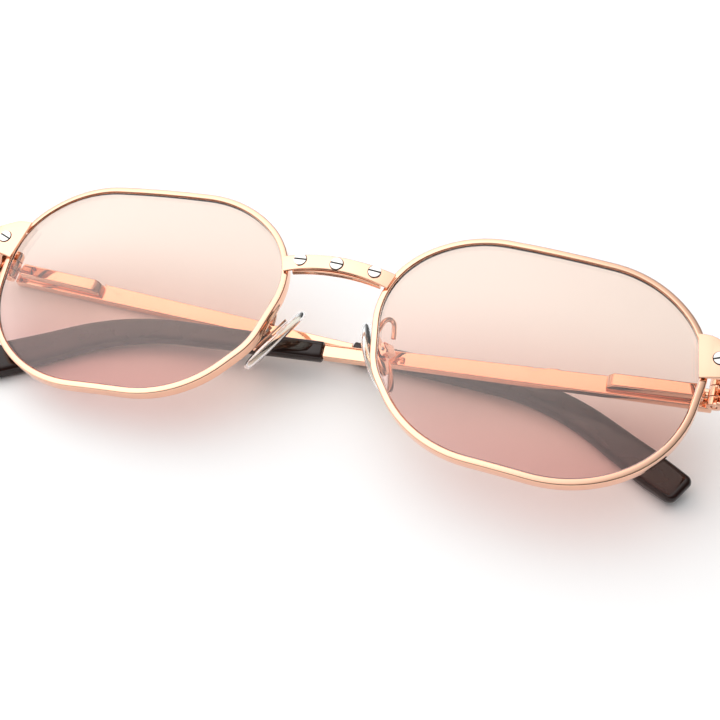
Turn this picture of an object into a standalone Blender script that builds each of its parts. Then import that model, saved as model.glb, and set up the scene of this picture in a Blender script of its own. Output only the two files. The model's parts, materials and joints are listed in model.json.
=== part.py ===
"""Folded metal-framed sunglasses lying lens-up on a table.

The front is drawn in its own frame: x across the face, y up the face, z out of the
lenses, with the bridge at x = 0.  Each temple is drawn in a frame of its own: u along
the temple, v up, w outwards, with the hinge axis at u = w = 0.  Empties then turn the
temples in behind the lenses and lay the whole front on the table (world z = 0).
"""

import math

import bmesh
import bpy
from mathutils import Matrix, Vector

MM = 0.001

# Front: lens opening, rims and lenses -------------------------------------------------
LENS_CENTRE_X = 37.0 * MM
FACE_RADIUS = 136.0 * MM
FACE_WRAP = math.radians(2.9)
# Corners of the eight-sided lens opening, measured from its centre (+x is towards the
# temple), each with the radius that rounds it.
LENS_CORNERS = (
    (28.4, 12.2, 15.0),
    (17.3, 22.6, 19.0),
    (-15.2, 24.0, 20.0),
    (-29.0, 14.1, 15.0),
    (-25.2, -3.8, 12.0),
    (-15.9, -16.3, 21.0),
    (11.6, -17.8, 23.0),
    (25.6, -8.4, 20.0),
)
CORNER_STEPS = 5
RIM_WIDTH = 1.15 * MM
RIM_DEPTH = 2.3 * MM
RIM_CHAMFER = 0.2 * MM
GROOVE_DEPTH = 0.4 * MM
GROOVE_HALF = 0.65 * MM
RIM_SLIT = 0.3 * MM
LENS_THICKNESS = 1.6 * MM
LENS_GAP = 0.12 * MM
LENS_BEVEL = 0.22 * MM
LENS_RINGS = 3

# Bridge -------------------------------------------------------------------------------
BRIDGE_HALF_TOP = 10.6 * MM
BRIDGE_HALF_BOTTOM = 9.7 * MM
BRIDGE_TOP_Y = 14.9 * MM
BRIDGE_BOTTOM_Y = 12.2 * MM
BRIDGE_END_DROP = 0.9 * MM
BRIDGE_FRONT_Z = 0.0
BRIDGE_END_BACK = 1.3 * MM
BRIDGE_PLATE_THICKNESS = 0.8 * MM
BRIDGE_PLATE_END = 0.4 * MM
BRIDGE_BAR_THICKNESS = 1.2 * MM
BRIDGE_BAR_HEIGHT = 2.0 * MM
BRIDGE_BAR_HALF = 8.2 * MM
BRIDGE_SCREW_PITCH = 7.0 * MM
BRIDGE_SCREW_Y = 13.45 * MM

# Fasteners ----------------------------------------------------------------------------
HEAD_RADIUS = 1.15 * MM
HEAD_HEIGHT = 0.35 * MM
SHANK_RADIUS = 0.5 * MM
SLOT_WIDTH = 0.3 * MM
SLOT_DEPTH = 0.18 * MM
FIT_GAP = 0.1 * MM
STACK_GAP = 0.2 * MM

# Endpiece, rim lock and hinge ---------------------------------------------------------
HINGE_X = 67.5 * MM
HINGE_Y = 7.2 * MM
HINGE_Z = -12.0 * MM
BARREL_RADIUS = 1.3 * MM
BARREL_HEIGHT = 1.5 * MM
MIDDLE_BARREL_HEIGHT = 1.9 * MM
BARREL_GAP = 0.15 * MM
PIN_RADIUS = 0.5 * MM
HINGE_BASE_X = (69.25 * MM, 70.05 * MM)
HINGE_BASE_Z = (-10.9 * MM, -6.8 * MM)
HINGE_BASE_INSET = 0.2 * MM
HINGE_ARM_X = (HINGE_X + 0.3 * MM, 69.6 * MM)
HINGE_ARM_Z = (-12.2 * MM, -10.2 * MM)
HINGE_ARM_INSET = 0.05 * MM
ENDPIECE_FRONT_Z = -3.75 * MM
ENDPIECE_SCREW_X = 67.1 * MM
ENDPIECE_SCREW_Y = 9.7 * MM
# From the lens opening round to the temple, in mm: x at four heights, lowest and highest
# y, depth z, thickness, and how far the outer face has turned towards the side.
ENDPIECE_STATIONS = (
    ((64.25, 64.35, 63.9, 62.9), 5.5, 13.6, -3.6, 0.45, 0.0),
    ((65.9, 65.9, 65.6, 65.2), 5.9, 13.6, -3.66, 0.6, 0.0),
    ((67.8, 67.8, 67.8, 67.4), 6.3, 12.8, -3.78, 1.0, 0.0),
    ((69.6, 69.6, 69.6, 69.4), 6.8, 11.9, -4.0, 1.1, 0.25),
    ((70.9, 70.9, 70.9, 70.8), 7.0, 11.3, -4.75, 1.2, 0.8),
    ((71.4, 71.4, 71.4, 71.4), 6.9, 10.9, -6.0, 1.2, 1.5708),
    ((71.4, 71.4, 71.4, 71.4), 5.5, 9.4, -11.6, 1.2, 1.5708),
)
LOCK_X = 67.2 * MM
LOCK_Z = (-7.0 * MM, -5.0 * MM)
LOCK_UPPER_Y = (10.9 * MM, 12.2 * MM)
LOCK_LOWER_Y = (8.2 * MM, 10.6 * MM)
LOCK_HOLE_RADIUS = 0.35 * MM
LOCK_HALF_WIDTH = 1.0 * MM
LOCK_SCREW_LENGTH = 3.8 * MM

# Temple -------------------------------------------------------------------------------
BAR_OFFSET = 3.25 * MM
BAR_THICKNESS = 1.8 * MM
BAR_HEIGHT_HINGE = 3.9 * MM
BAR_HEIGHT_TIP = 2.7 * MM
BAR_START = 0.3 * MM
SLEEVE_START = 69.6 * MM
BEND_START = 97.0 * MM
BEND_RADIUS = 41.0 * MM
BEND_ANGLE = math.radians(30.0)
TEMPLE_LENGTH = 135.6 * MM
TIP_CURL = 3.5
CORE_END = 126.0 * MM
CORE_HEIGHT = 1.9 * MM
CORE_THICKNESS = 1.0 * MM
SLEEVE_HEIGHT_START = 3.9 * MM
SLEEVE_HEIGHT_END = 6.8 * MM
SLEEVE_FLARE = 1.7
SLEEVE_THICKNESS_START = 3.0 * MM
SLEEVE_THICKNESS_END = 3.4 * MM
POCKET_GAP = 0.15 * MM
HOUSING_START = 1.9 * MM
HOUSING_END = 18.4 * MM
HOUSING_HALF_HEIGHT = 1.25 * MM
HOUSING_INNER = -0.15 * MM
HOUSING_OUTER = 2.2 * MM
BORE_RADIUS = 0.8 * MM
BORE_END = 17.4 * MM
ROD_RADIUS = 0.28 * MM
ROD_END = 15.6 * MM
STOP_START = 2.1 * MM
STOP_END = 4.2 * MM
SPRING_TURNS = 6
SPRING_RADIUS = 0.52 * MM
SPRING_WIRE = 0.1 * MM
SPRING_END = 13.0 * MM
NUT_LENGTH = 1.2 * MM

# Nose pads ----------------------------------------------------------------------------
PAD_CENTRE = Vector((9.7, 0.6, -8.6)) * MM
PAD_NORMAL = Vector((-0.76, -0.43, -0.49))
PAD_LENGTH_DIR = Vector((-0.49, 0.87, 0.0))
PAD_LENGTH = 15.0 * MM
PAD_WIDTH = 7.0 * MM
PAD_THICKNESS = 2.0 * MM
PAD_PLATE_THICKNESS = 0.4 * MM
ARM_RADIUS = 0.45 * MM
ARM_POINTS = (
    (9.5, 1.6, -4.4),
    (9.9, 4.3, -4.7),
    (10.7, 6.6, -5.3),
    (11.5, 6.9, -6.5),
    (11.9, 5.6, -7.2),
    (12.1, 4.2, -7.5),
)
PAD_BOX_SIZE = Vector((2.6, 2.0, 1.4)) * MM
PAD_BOX_WALL = 0.35 * MM

# Rest attitude on the table and fold of each temple -------------------------------------
REST_TILT_X = math.radians(17.1)
REST_TILT_Y = math.radians(-3.6)
FOLD = {"left": math.radians(91.0), "right": math.radians(86.7)}
DROOP = {"left": math.radians(3.9), "right": math.radians(1.0)}
SIDES = {"left": 1.0, "right": -1.0}

FINISHES = {
    "rose_gold": ((0.93, 0.62, 0.45), 0.18, 1.0),
    "steel": ((0.80, 0.80, 0.78), 0.22, 1.0),
    "lens_tint": ((0.96, 0.76, 0.68), 0.05, 0.0),
    "tip_acetate": ((0.03, 0.015, 0.012), 0.15, 0.0),
    "clear_silicone": ((0.92, 0.90, 0.85), 0.2, 0.0),
    "spring_steel": ((0.55, 0.55, 0.56), 0.3, 1.0),
}


# Mesh helpers -------------------------------------------------------------------------
def clear_scene():
    for obj in list(bpy.data.objects):
        bpy.data.objects.remove(obj, do_unlink=True)


def finish_material(finish, name):
    colour, roughness, metallic = FINISHES[finish]
    material = bpy.data.materials.new(f"{name}_{finish}")
    material.use_nodes = True
    shader = material.node_tree.nodes["Principled BSDF"]
    shader.inputs["Base Color"].default_value = (*colour, 1.0)
    shader.inputs["Roughness"].default_value = roughness
    shader.inputs["Metallic"].default_value = metallic
    return material


def add_object(name, bm, finish, parent):
    """Turns a bmesh into a named, finished object under its parent empty."""
    bmesh.ops.recalc_face_normals(bm, faces=bm.faces)
    if bm.calc_volume(signed=True) < 0.0:
        bmesh.ops.reverse_faces(bm, faces=bm.faces)
    mesh = bpy.data.meshes.new(name)
    bm.to_mesh(mesh)
    bm.free()
    mesh.shade_smooth()
    mesh.set_sharp_from_angle(angle=math.radians(35.0))
    obj = bpy.data.objects.new(name, mesh)
    bpy.context.scene.collection.objects.link(obj)
    obj.parent = parent
    if finish:
        mesh.materials.append(finish_material(finish, name))
    return obj


def add_empty(name, parent, matrix):
    empty = bpy.data.objects.new(name, None)
    empty.empty_display_size = 5.0 * MM
    bpy.context.scene.collection.objects.link(empty)
    empty.parent = parent
    empty.matrix_local = matrix
    return empty


def add_ring(bm, points):
    return [bm.verts.new(point) for point in points]


def bridge(bm, ring_a, ring_b):
    count = len(ring_a)
    for i in range(count):
        j = (i + 1) % count
        bm.faces.new((ring_a[i], ring_a[j], ring_b[j], ring_b[i]))


def loft(bm, rings, closed=False):
    """Skins a row of equal rings, with flat caps unless the row closes on itself."""
    loops = [add_ring(bm, ring) for ring in rings]
    for first, second in zip(loops, loops[1:]):
        bridge(bm, first, second)
    if closed:
        bridge(bm, loops[-1], loops[0])
    else:
        bm.faces.new(loops[0][::-1])
        bm.faces.new(loops[-1])
    return loops


def sleeve(bm, outer_rings, inner_rings):
    """A skin with a blind pocket: both rows of rings start at the open mouth."""
    outer = [add_ring(bm, ring) for ring in outer_rings]
    inner = [add_ring(bm, ring) for ring in inner_rings]
    for first, second in zip(outer, outer[1:]):
        bridge(bm, first, second)
    for first, second in zip(inner, inner[1:]):
        bridge(bm, second, first)
    bridge(bm, inner[0], outer[0])
    bm.faces.new(outer[-1])
    bm.faces.new(inner[-1][::-1])


def tube(bm, start, end, outer_radius, inner_radius, sides=20):
    """A straight round tube from start to end."""
    start, end = Vector(start), Vector(end)
    rings = [
        circle(start, end - start, inner_radius, sides),
        circle(start, end - start, outer_radius, sides),
        circle(end, end - start, outer_radius, sides),
        circle(end, end - start, inner_radius, sides),
    ]
    loft(bm, rings, closed=True)


def rod(bm, start, end, radius, sides=16):
    start, end = Vector(start), Vector(end)
    loft(bm, [circle(p, end - start, radius, sides) for p in (start, end)])


def circle(centre, axis, radius, sides):
    axis = Vector(axis).normalized()
    side = axis.orthogonal().normalized()
    up = axis.cross(side)
    turns = [2.0 * math.pi * i / sides for i in range(sides)]
    return [centre + radius * (math.cos(t) * side + math.sin(t) * up) for t in turns]


def block(bm, low, high, matrix=None, bevel=0.0):
    """A box between two corners, placed by a matrix, with its edges bevelled."""
    low, high = Vector(low), Vector(high)
    made = bmesh.ops.create_cube(bm, size=1.0)
    size = high - low
    place = Matrix.Translation((low + high) / 2.0) @ Matrix.Diagonal((*size, 1.0))
    bmesh.ops.transform(bm, matrix=place, verts=made["verts"])
    if bevel:
        edges = {edge for vert in made["verts"] for edge in vert.link_edges}
        done = bmesh.ops.bevel(bm, geom=list(edges), offset=bevel, segments=1, affect="EDGES")
        made["verts"] = list({v for face in done["faces"] for v in face.verts})
    if matrix is not None:
        bmesh.ops.transform(bm, matrix=matrix, verts=made["verts"])
    return made["verts"]


def prism(bm, outline, low_z, high_z, chamfer=0.0):
    """Extrudes an (x, y) outline, whose points may carry their own depth offset."""
    def ring(z, shrink):
        centre = sum((Vector(p[:2]) for p in outline), Vector((0.0, 0.0))) / len(outline)
        points = []
        for point in outline:
            flat = Vector(point[:2])
            inward = (centre - flat).normalized() * shrink
            drop = point[2] if len(point) > 2 else 0.0
            points.append((flat.x + inward.x, flat.y + inward.y, z + drop))
        return points

    rings = [ring(low_z, 0.0), ring(high_z - chamfer, 0.0)]
    if chamfer:
        rings.append(ring(high_z, chamfer))
    loft(bm, rings)


def combine(obj, other, operation):
    """Keeps a Boolean on obj; the other object is only a guide for it."""
    modifier = obj.modifiers.new(operation.lower(), "BOOLEAN")
    modifier.operation = operation
    modifier.solver = "EXACT"
    modifier.object = other
    other.hide_render = True
    other.display_type = "WIRE"


def guide(name, bm, parent):
    return add_object(f"guide_{name}", bm, None, parent)


# Front geometry -------------------------------------------------------------------------
def face_depth(x, y):
    """Depth of the rims' front face at a place on the face."""
    across = abs(x) - LENS_CENTRE_X
    dome = (across * across + y * y) / (2.0 * FACE_RADIUS)
    return -dome - math.tan(FACE_WRAP) * across


def lens_outline():
    """Points of the lens opening with their outward normals, from the rim's slit."""
    corners = [Vector((x, y)) * MM for x, y, _ in LENS_CORNERS]
    points = []
    for i, corner in enumerate(corners):
        radius = LENS_CORNERS[i][2] * MM
        to_last = (corners[i - 1] - corner).normalized()
        to_next = (corners[(i + 1) % len(corners)] - corner).normalized()
        half = to_last.angle(to_next) / 2.0
        centre = corner + (to_last + to_next).normalized() * radius / math.sin(half)
        start = corner + to_last * radius / math.tan(half) - centre
        end = corner + to_next * radius / math.tan(half) - centre
        first = math.atan2(start.y, start.x)
        turn = (math.atan2(end.y, end.x) - first + math.pi) % (2.0 * math.pi) - math.pi
        for step in range(CORNER_STEPS + 1):
            angle = first + turn * step / CORNER_STEPS
            normal = Vector((math.cos(angle), math.sin(angle)))
            points.append((centre + normal * radius, normal))
    middle = CORNER_STEPS // 2
    return points[middle:] + points[:middle]


def face_point(point, normal, side, offset, depth):
    """A point offset outwards from the lens opening and sunk behind the front face."""
    flat = point + normal * offset
    x = side * (LENS_CENTRE_X + flat.x)
    return Vector((x, flat.y, face_depth(x, flat.y) - depth))


def rim_section():
    middle = RIM_DEPTH / 2.0
    return (
        (0.0, RIM_CHAMFER),
        (RIM_CHAMFER, 0.0),
        (RIM_WIDTH - RIM_CHAMFER, 0.0),
        (RIM_WIDTH, RIM_CHAMFER),
        (RIM_WIDTH, RIM_DEPTH - RIM_CHAMFER),
        (RIM_WIDTH - RIM_CHAMFER, RIM_DEPTH),
        (0.0, RIM_DEPTH),
        (0.0, middle + GROOVE_HALF),
        (GROOVE_DEPTH, middle),
        (0.0, middle - GROOVE_HALF),
    )


def build_rim(name, side, front):
    """An eyewire with a V groove, split behind the endpiece where the lock closes it."""
    outline = lens_outline()
    first_point, first_normal = outline[0]
    tangent = Vector((first_normal.y, -first_normal.x)) * RIM_SLIT / 2.0
    path = [(first_point - tangent, first_normal)] + outline[1:]
    path.append((first_point + tangent, first_normal))
    if (outline[1][0] - first_point).dot(tangent) > 0.0:
        path[0], path[-1] = path[-1], path[0]
    bm = bmesh.new()
    loft(bm, [[face_point(p, n, side, *s) for s in rim_section()] for p, n in path])
    return add_object(f"{name}_rim", bm, "rose_gold", front)


def build_lens(name, side, front):
    """A curved lens whose bevelled edge stands in the rim's groove."""
    outline = lens_outline()
    middle = RIM_DEPTH / 2.0
    front_depth = middle - LENS_THICKNESS / 2.0
    back_depth = middle + LENS_THICKNESS / 2.0
    bm = bmesh.new()
    edge = [(-LENS_GAP, front_depth), (LENS_BEVEL, middle), (-LENS_GAP, back_depth)]
    loops = [add_ring(bm, [face_point(p, n, side, *e) for p, n in outline]) for e in edge]
    bridge(bm, loops[0], loops[1])
    bridge(bm, loops[1], loops[2])
    for depth, start in ((front_depth, loops[0]), (back_depth, loops[2])):
        last = start
        for ring in range(1, LENS_RINGS):
            share = 1.0 - ring / LENS_RINGS
            inner = [(p * share, n * 0.0) for p, n in outline]
            loop = add_ring(bm, [face_point(p, n, side, 0.0, depth) for p, n in inner])
            bridge(bm, last, loop)
            last = loop
        middle_point = face_point(Vector((0.0, 0.0)), Vector((0.0, 0.0)), side, 0.0, depth)
        centre = bm.verts.new(middle_point)
        for i, vert in enumerate(last):
            bm.faces.new((vert, last[(i + 1) % len(last)], centre))
    return add_object(f"{name}_lens", bm, "lens_tint", front)


def bridge_sag(x):
    """How far the bridge drops in y towards its ends, as a share from 0 to 1."""
    return (x / BRIDGE_HALF_TOP) ** 2


def build_bridge_plate(front):
    steps = 12
    rings = []
    for i in range(steps + 1):
        share = 2.0 * i / steps - 1.0
        top_x = share * BRIDGE_HALF_TOP
        bottom_x = share * BRIDGE_HALF_BOTTOM
        drop = BRIDGE_END_DROP * bridge_sag(top_x)
        top = BRIDGE_TOP_Y - drop
        bottom = BRIDGE_BOTTOM_Y - 1.3 * drop
        front_z = BRIDGE_FRONT_Z - BRIDGE_END_BACK * bridge_sag(top_x)
        thinning = (BRIDGE_PLATE_THICKNESS - BRIDGE_PLATE_END) * bridge_sag(top_x)
        back_z = front_z - BRIDGE_PLATE_THICKNESS + thinning
        rings.append(
            [
                (bottom_x, bottom, back_z),
                (bottom_x, bottom, front_z),
                (top_x, top, front_z),
                (top_x, top, back_z),
            ]
        )
    bm = bmesh.new()
    loft(bm, rings)
    plate = add_object("bridge_plate", bm, "rose_gold", front)
    combine(plate, screw_holes("bridge_plate", front), "DIFFERENCE")
    return plate


def screw_holes(name, front):
    bm = bmesh.new()
    for x in (-BRIDGE_SCREW_PITCH, 0.0, BRIDGE_SCREW_PITCH):
        low = Vector((x, BRIDGE_SCREW_Y, -6.0 * MM))
        high = Vector((x, BRIDGE_SCREW_Y, 3.0 * MM))
        rod(bm, low, high, SHANK_RADIUS + FIT_GAP, 16)
    return guide(f"{name}_holes", bm, front)


def build_bridge_bar(front):
    """The structural bar behind the plate; it runs from rim to rim."""
    steps = 12
    rings = []
    for i in range(steps + 1):
        x = (2.0 * i / steps - 1.0) * BRIDGE_BAR_HALF
        drop = BRIDGE_END_DROP * bridge_sag(x)
        middle = BRIDGE_SCREW_Y - drop - 0.55 * MM
        front_z = BRIDGE_FRONT_Z - BRIDGE_END_BACK * bridge_sag(x) - BRIDGE_PLATE_THICKNESS
        front_z -= STACK_GAP
        back_z = front_z - BRIDGE_BAR_THICKNESS
        half = BRIDGE_BAR_HEIGHT / 2.0
        rings.append(
            [
                (x, middle - half, back_z),
                (x, middle - half, front_z),
                (x, middle + half, front_z),
                (x, middle + half, back_z),
            ]
        )
    bm = bmesh.new()
    loft(bm, rings)
    bar = add_object("bridge_bar", bm, "rose_gold", front)
    combine(bar, screw_holes("bridge_bar", front), "DIFFERENCE")
    return bar


def build_screw(name, parent, seat, axis, length, slot_turn, finish="steel", scale=1.0):
    """A slotted screw whose head rests on seat and whose shank runs back along axis."""
    axis = Vector(axis).normalized()
    seat = Vector(seat)
    head_radius = HEAD_RADIUS * scale
    shank_radius = SHANK_RADIUS * scale
    head_height = HEAD_HEIGHT * scale
    profile = (
        (0.0 - length, shank_radius),
        (0.0, shank_radius),
        (0.0, head_radius),
        (head_height * 0.6, head_radius),
        (head_height, head_radius * 0.8),
    )
    bm = bmesh.new()
    loft(bm, [circle(seat + axis * h, axis, r, 20) for h, r in profile])
    screw = add_object(name, bm, finish, parent)
    side = axis.orthogonal().normalized()
    side.rotate(Matrix.Rotation(slot_turn, 3, axis))
    across = axis.cross(side)
    frame = Matrix((side, across, axis)).transposed().to_4x4()
    frame.translation = seat + axis * head_height
    cutter = bmesh.new()
    depth = SLOT_DEPTH * scale
    half = SLOT_WIDTH * scale / 2.0
    block(cutter, (-2.0 * MM, -half, -depth), (2.0 * MM, half, depth), frame)
    combine(screw, guide(f"{name}_slot", cutter, parent), "DIFFERENCE")
    return screw


# Endpiece, rim lock and hinge -------------------------------------------------------------
def endpiece_ring(side, station):
    """A section of the endpiece: its outer face, then the inner face behind it."""
    xs, low_y, high_y, depth, thickness, turn = station
    inward = Vector((-math.sin(turn), 0.0, -math.cos(turn)))
    outer = []
    levels = len(xs)
    for i, x in enumerate(xs):
        y = low_y + (high_y - low_y) * i / (levels - 1)
        outer.append(Vector((x, y, depth)) * MM)
    inner = [point + inward * thickness * MM for point in outer]
    ring = outer + inner[::-1]
    return [Vector((side * p.x, p.y, p.z)) for p in ring]


def build_endpiece(name, side, front):
    """The plate over the rim's corner, folded back along the temple side."""
    bm = bmesh.new()
    loft(bm, [endpiece_ring(side, station) for station in ENDPIECE_STATIONS])
    plate = add_object(f"{name}_endpiece", bm, "rose_gold", front)
    lock = bmesh.new()
    corners = sorted(side * (LOCK_X + shift) for shift in (-LOCK_HALF_WIDTH, LOCK_HALF_WIDTH))
    low = (corners[0], LOCK_UPPER_Y[0], LOCK_Z[0])
    block(lock, low, (corners[1], LOCK_UPPER_Y[1], ENDPIECE_FRONT_Z - 0.4 * MM))
    combine(plate, guide(f"{name}_endpiece_lock", lock, front), "UNION")
    holes = bmesh.new()
    low = (side * ENDPIECE_SCREW_X, ENDPIECE_SCREW_Y, ENDPIECE_FRONT_Z - 3.0 * MM)
    high = (side * ENDPIECE_SCREW_X, ENDPIECE_SCREW_Y, ENDPIECE_FRONT_Z + 3.0 * MM)
    rod(holes, low, high, SHANK_RADIUS + FIT_GAP)
    lock_z = sum(LOCK_Z) / 2.0
    low = (side * LOCK_X, LOCK_UPPER_Y[0] - MM, lock_z)
    rod(holes, low, (side * LOCK_X, LOCK_UPPER_Y[1] + MM, lock_z), LOCK_HOLE_RADIUS)
    combine(plate, guide(f"{name}_endpiece_holes", holes, front), "DIFFERENCE")


def build_rim_lock(name, side, front):
    """The lower half of the closing block, soldered to the rim's lower end."""
    lock_z = sum(LOCK_Z) / 2.0
    bm = bmesh.new()
    inner_half = LOCK_HALF_WIDTH - STACK_GAP
    corners = sorted(side * (LOCK_X + shift) for shift in (-inner_half, LOCK_HALF_WIDTH))
    low = (corners[0], LOCK_LOWER_Y[0], LOCK_Z[0])
    block(bm, low, (corners[1], LOCK_LOWER_Y[1], LOCK_Z[1]), bevel=0.1 * MM)
    lock = add_object(f"{name}_rim_lock", bm, "rose_gold", front)
    hole = bmesh.new()
    low = (side * LOCK_X, LOCK_LOWER_Y[0] - MM, lock_z)
    rod(hole, low, (side * LOCK_X, LOCK_LOWER_Y[1] + MM, lock_z), LOCK_HOLE_RADIUS)
    combine(lock, guide(f"{name}_rim_lock_hole", hole, front), "DIFFERENCE")


def barrel_levels():
    """The y span of the lower, middle and upper hinge barrels."""
    half = MIDDLE_BARREL_HEIGHT / 2.0
    low = HINGE_Y - half - BARREL_GAP - BARREL_HEIGHT
    high = HINGE_Y + half + BARREL_GAP + BARREL_HEIGHT
    return (
        (low, low + BARREL_HEIGHT),
        (HINGE_Y - half, HINGE_Y + half),
        (high - BARREL_HEIGHT, high),
    )


def build_hinge_front(name, side, front):
    """The two outer barrels on a base plate inside the endpiece wall."""
    levels = barrel_levels()
    bm = bmesh.new()
    corners = sorted(side * x for x in HINGE_BASE_X)
    low = (corners[0], levels[0][0] + HINGE_BASE_INSET, HINGE_BASE_Z[0])
    block(bm, low, (corners[1], levels[2][1] - HINGE_BASE_INSET, HINGE_BASE_Z[1]))
    base = add_object(f"{name}_hinge_front", bm, "rose_gold", front)
    barrels = bmesh.new()
    for low_y, high_y in (levels[0], levels[2]):
        start = (side * HINGE_X, low_y, HINGE_Z)
        rod(barrels, start, (side * HINGE_X, high_y, HINGE_Z), BARREL_RADIUS, 24)
    combine(base, guide(f"{name}_hinge_barrels", barrels, front), "UNION")
    arms = bmesh.new()
    for low_y, high_y in (levels[0], levels[2]):
        corners = sorted(side * x for x in HINGE_ARM_X)
        low = (corners[0], low_y + HINGE_ARM_INSET, HINGE_ARM_Z[0])
        block(arms, low, (corners[1], high_y - HINGE_ARM_INSET, HINGE_ARM_Z[1]))
    combine(base, guide(f"{name}_hinge_arms", arms, front), "UNION")
    hole = bmesh.new()
    rod(
        hole,
        (side * HINGE_X, levels[0][0] - 1.0 * MM, HINGE_Z),
        (side * HINGE_X, levels[2][1] + 1.0 * MM, HINGE_Z),
        PIN_RADIUS + FIT_GAP,
        20,
    )
    combine(base, guide(f"{name}_hinge_bore", hole, front), "DIFFERENCE")


# Temple -----------------------------------------------------------------------------------
def temple_centre(u, droop):
    """Centre line of the temple: its place along u, its drop in v and its downward turn."""
    if u <= BEND_START:
        along, down, turn = u, 0.0, 0.0
    else:
        turn = min((u - BEND_START) / BEND_RADIUS, BEND_ANGLE)
        past = u - BEND_START - turn * BEND_RADIUS
        along = BEND_START + BEND_RADIUS * math.sin(turn) + past * math.cos(turn)
        down = BEND_RADIUS * (1.0 - math.cos(turn)) + past * math.sin(turn)
    cos_d, sin_d = math.cos(droop), math.sin(droop)
    curl = TIP_CURL * max(0.0, u - BEND_START) ** 2
    centre = Vector((along * cos_d - down * sin_d, -along * sin_d - down * cos_d, BAR_OFFSET - curl))
    return centre, turn + droop


def rounded_section(height, thickness, corner):
    """Eight points of a rectangle with cut corners, as (up, out) pairs."""
    up, out = height / 2.0, thickness / 2.0
    cut = min(corner, up * 0.9, out * 0.9)
    return (
        (up, out - cut), (up - cut, out), (cut - up, out), (-up, out - cut),
        (-up, cut - out), (cut - up, -out), (up - cut, -out), (up, cut - out),
    )


def oval_section(height, thickness, sides=12):
    """A soft-cornered oval, as (up, out) pairs."""
    points = []
    for i in range(sides):
        angle = 2.0 * math.pi * (i + 0.5) / sides
        cos_a, sin_a = math.cos(angle), math.sin(angle)
        up = math.copysign(abs(cos_a) ** 0.7, cos_a) * height / 2.0
        out = math.copysign(abs(sin_a) ** 0.7, sin_a) * thickness / 2.0
        points.append((up, out))
    return points


def temple_ring(u, section, side, droop):
    """A section of the temple at u, in the temple empty's axes."""
    centre, turn = temple_centre(u, droop)
    up_dir = Vector((math.sin(turn), math.cos(turn), 0.0))
    points = []
    for up, out in section:
        place = centre + up_dir * up + Vector((0.0, 0.0, out))
        points.append(temple_point(place, side))
    return points


def temple_point(place, side):
    """Turns (u, v, w) into the temple empty's x, y, z, with the temple straight back."""
    return Vector((side * place[2], place[1], -place[0]))


def build_temple_bar(name, side, axis_empty, droop):
    """The metal bar and, inside the tip, its thinner core."""
    bm = bmesh.new()
    rings = []
    steps = 8
    for i in range(steps + 1):
        share = i / steps
        u = BAR_START + (SLEEVE_START - 0.3 * MM - BAR_START) * share
        height = BAR_HEIGHT_HINGE + (BAR_HEIGHT_TIP - BAR_HEIGHT_HINGE) * share
        section = rounded_section(height, BAR_THICKNESS, 0.25 * MM)
        rings.append(temple_ring(u, section, side, droop))
    core = rounded_section(CORE_HEIGHT, CORE_THICKNESS, 0.2 * MM)
    core_steps = 12
    for i in range(core_steps + 1):
        u = SLEEVE_START - 0.29 * MM + (CORE_END - SLEEVE_START) * i / core_steps
        rings.append(temple_ring(u, core, side, droop))
    loft(bm, rings)
    return add_object(f"{name}_temple_bar", bm, "rose_gold", axis_empty)


def build_temple_tip(name, side, axis_empty, droop):
    """The moulded tip, with the pocket that takes the bar's core."""
    span = TEMPLE_LENGTH - SLEEVE_START
    outer = []
    steps = 16
    for i in range(steps + 1):
        share = i / steps
        height = SLEEVE_HEIGHT_START
        height += (SLEEVE_HEIGHT_END - SLEEVE_HEIGHT_START) * share**SLEEVE_FLARE
        thickness = SLEEVE_THICKNESS_START
        thickness += (SLEEVE_THICKNESS_END - SLEEVE_THICKNESS_START) * share
        rounding = 0.93 if i in (0, steps) else 1.0
        section = oval_section(height * rounding, thickness * rounding)
        outer.append(temple_ring(SLEEVE_START + span * share, section, side, droop))
    end = oval_section(SLEEVE_HEIGHT_END * 0.62, SLEEVE_THICKNESS_END * 0.55)
    outer.append(temple_ring(TEMPLE_LENGTH + 0.9 * MM, end, side, droop))
    inner = []
    pocket = oval_section(CORE_HEIGHT + 4.0 * POCKET_GAP, CORE_THICKNESS + 4.0 * POCKET_GAP)
    pocket_steps = 12
    pocket_span = CORE_END + 0.3 * MM - SLEEVE_START
    for i in range(pocket_steps + 1):
        u = SLEEVE_START + pocket_span * i / pocket_steps
        inner.append(temple_ring(u, pocket, side, droop))
    bm = bmesh.new()
    sleeve(bm, outer, inner)
    return add_object(f"{name}_temple_tip", bm, "tip_acetate", axis_empty)


def drooped(place, droop):
    """Turns a point of the straight hinge housing by the temple's droop."""
    u, v, w = place
    return Vector((u * math.cos(droop) + v * math.sin(droop), v * math.cos(droop) - u * math.sin(droop), w))


def housing_axis_point(u, side, droop):
    w = (HOUSING_INNER + HOUSING_OUTER) / 2.0
    return temple_point(drooped((u, 0.0, w), droop), side)


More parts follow.
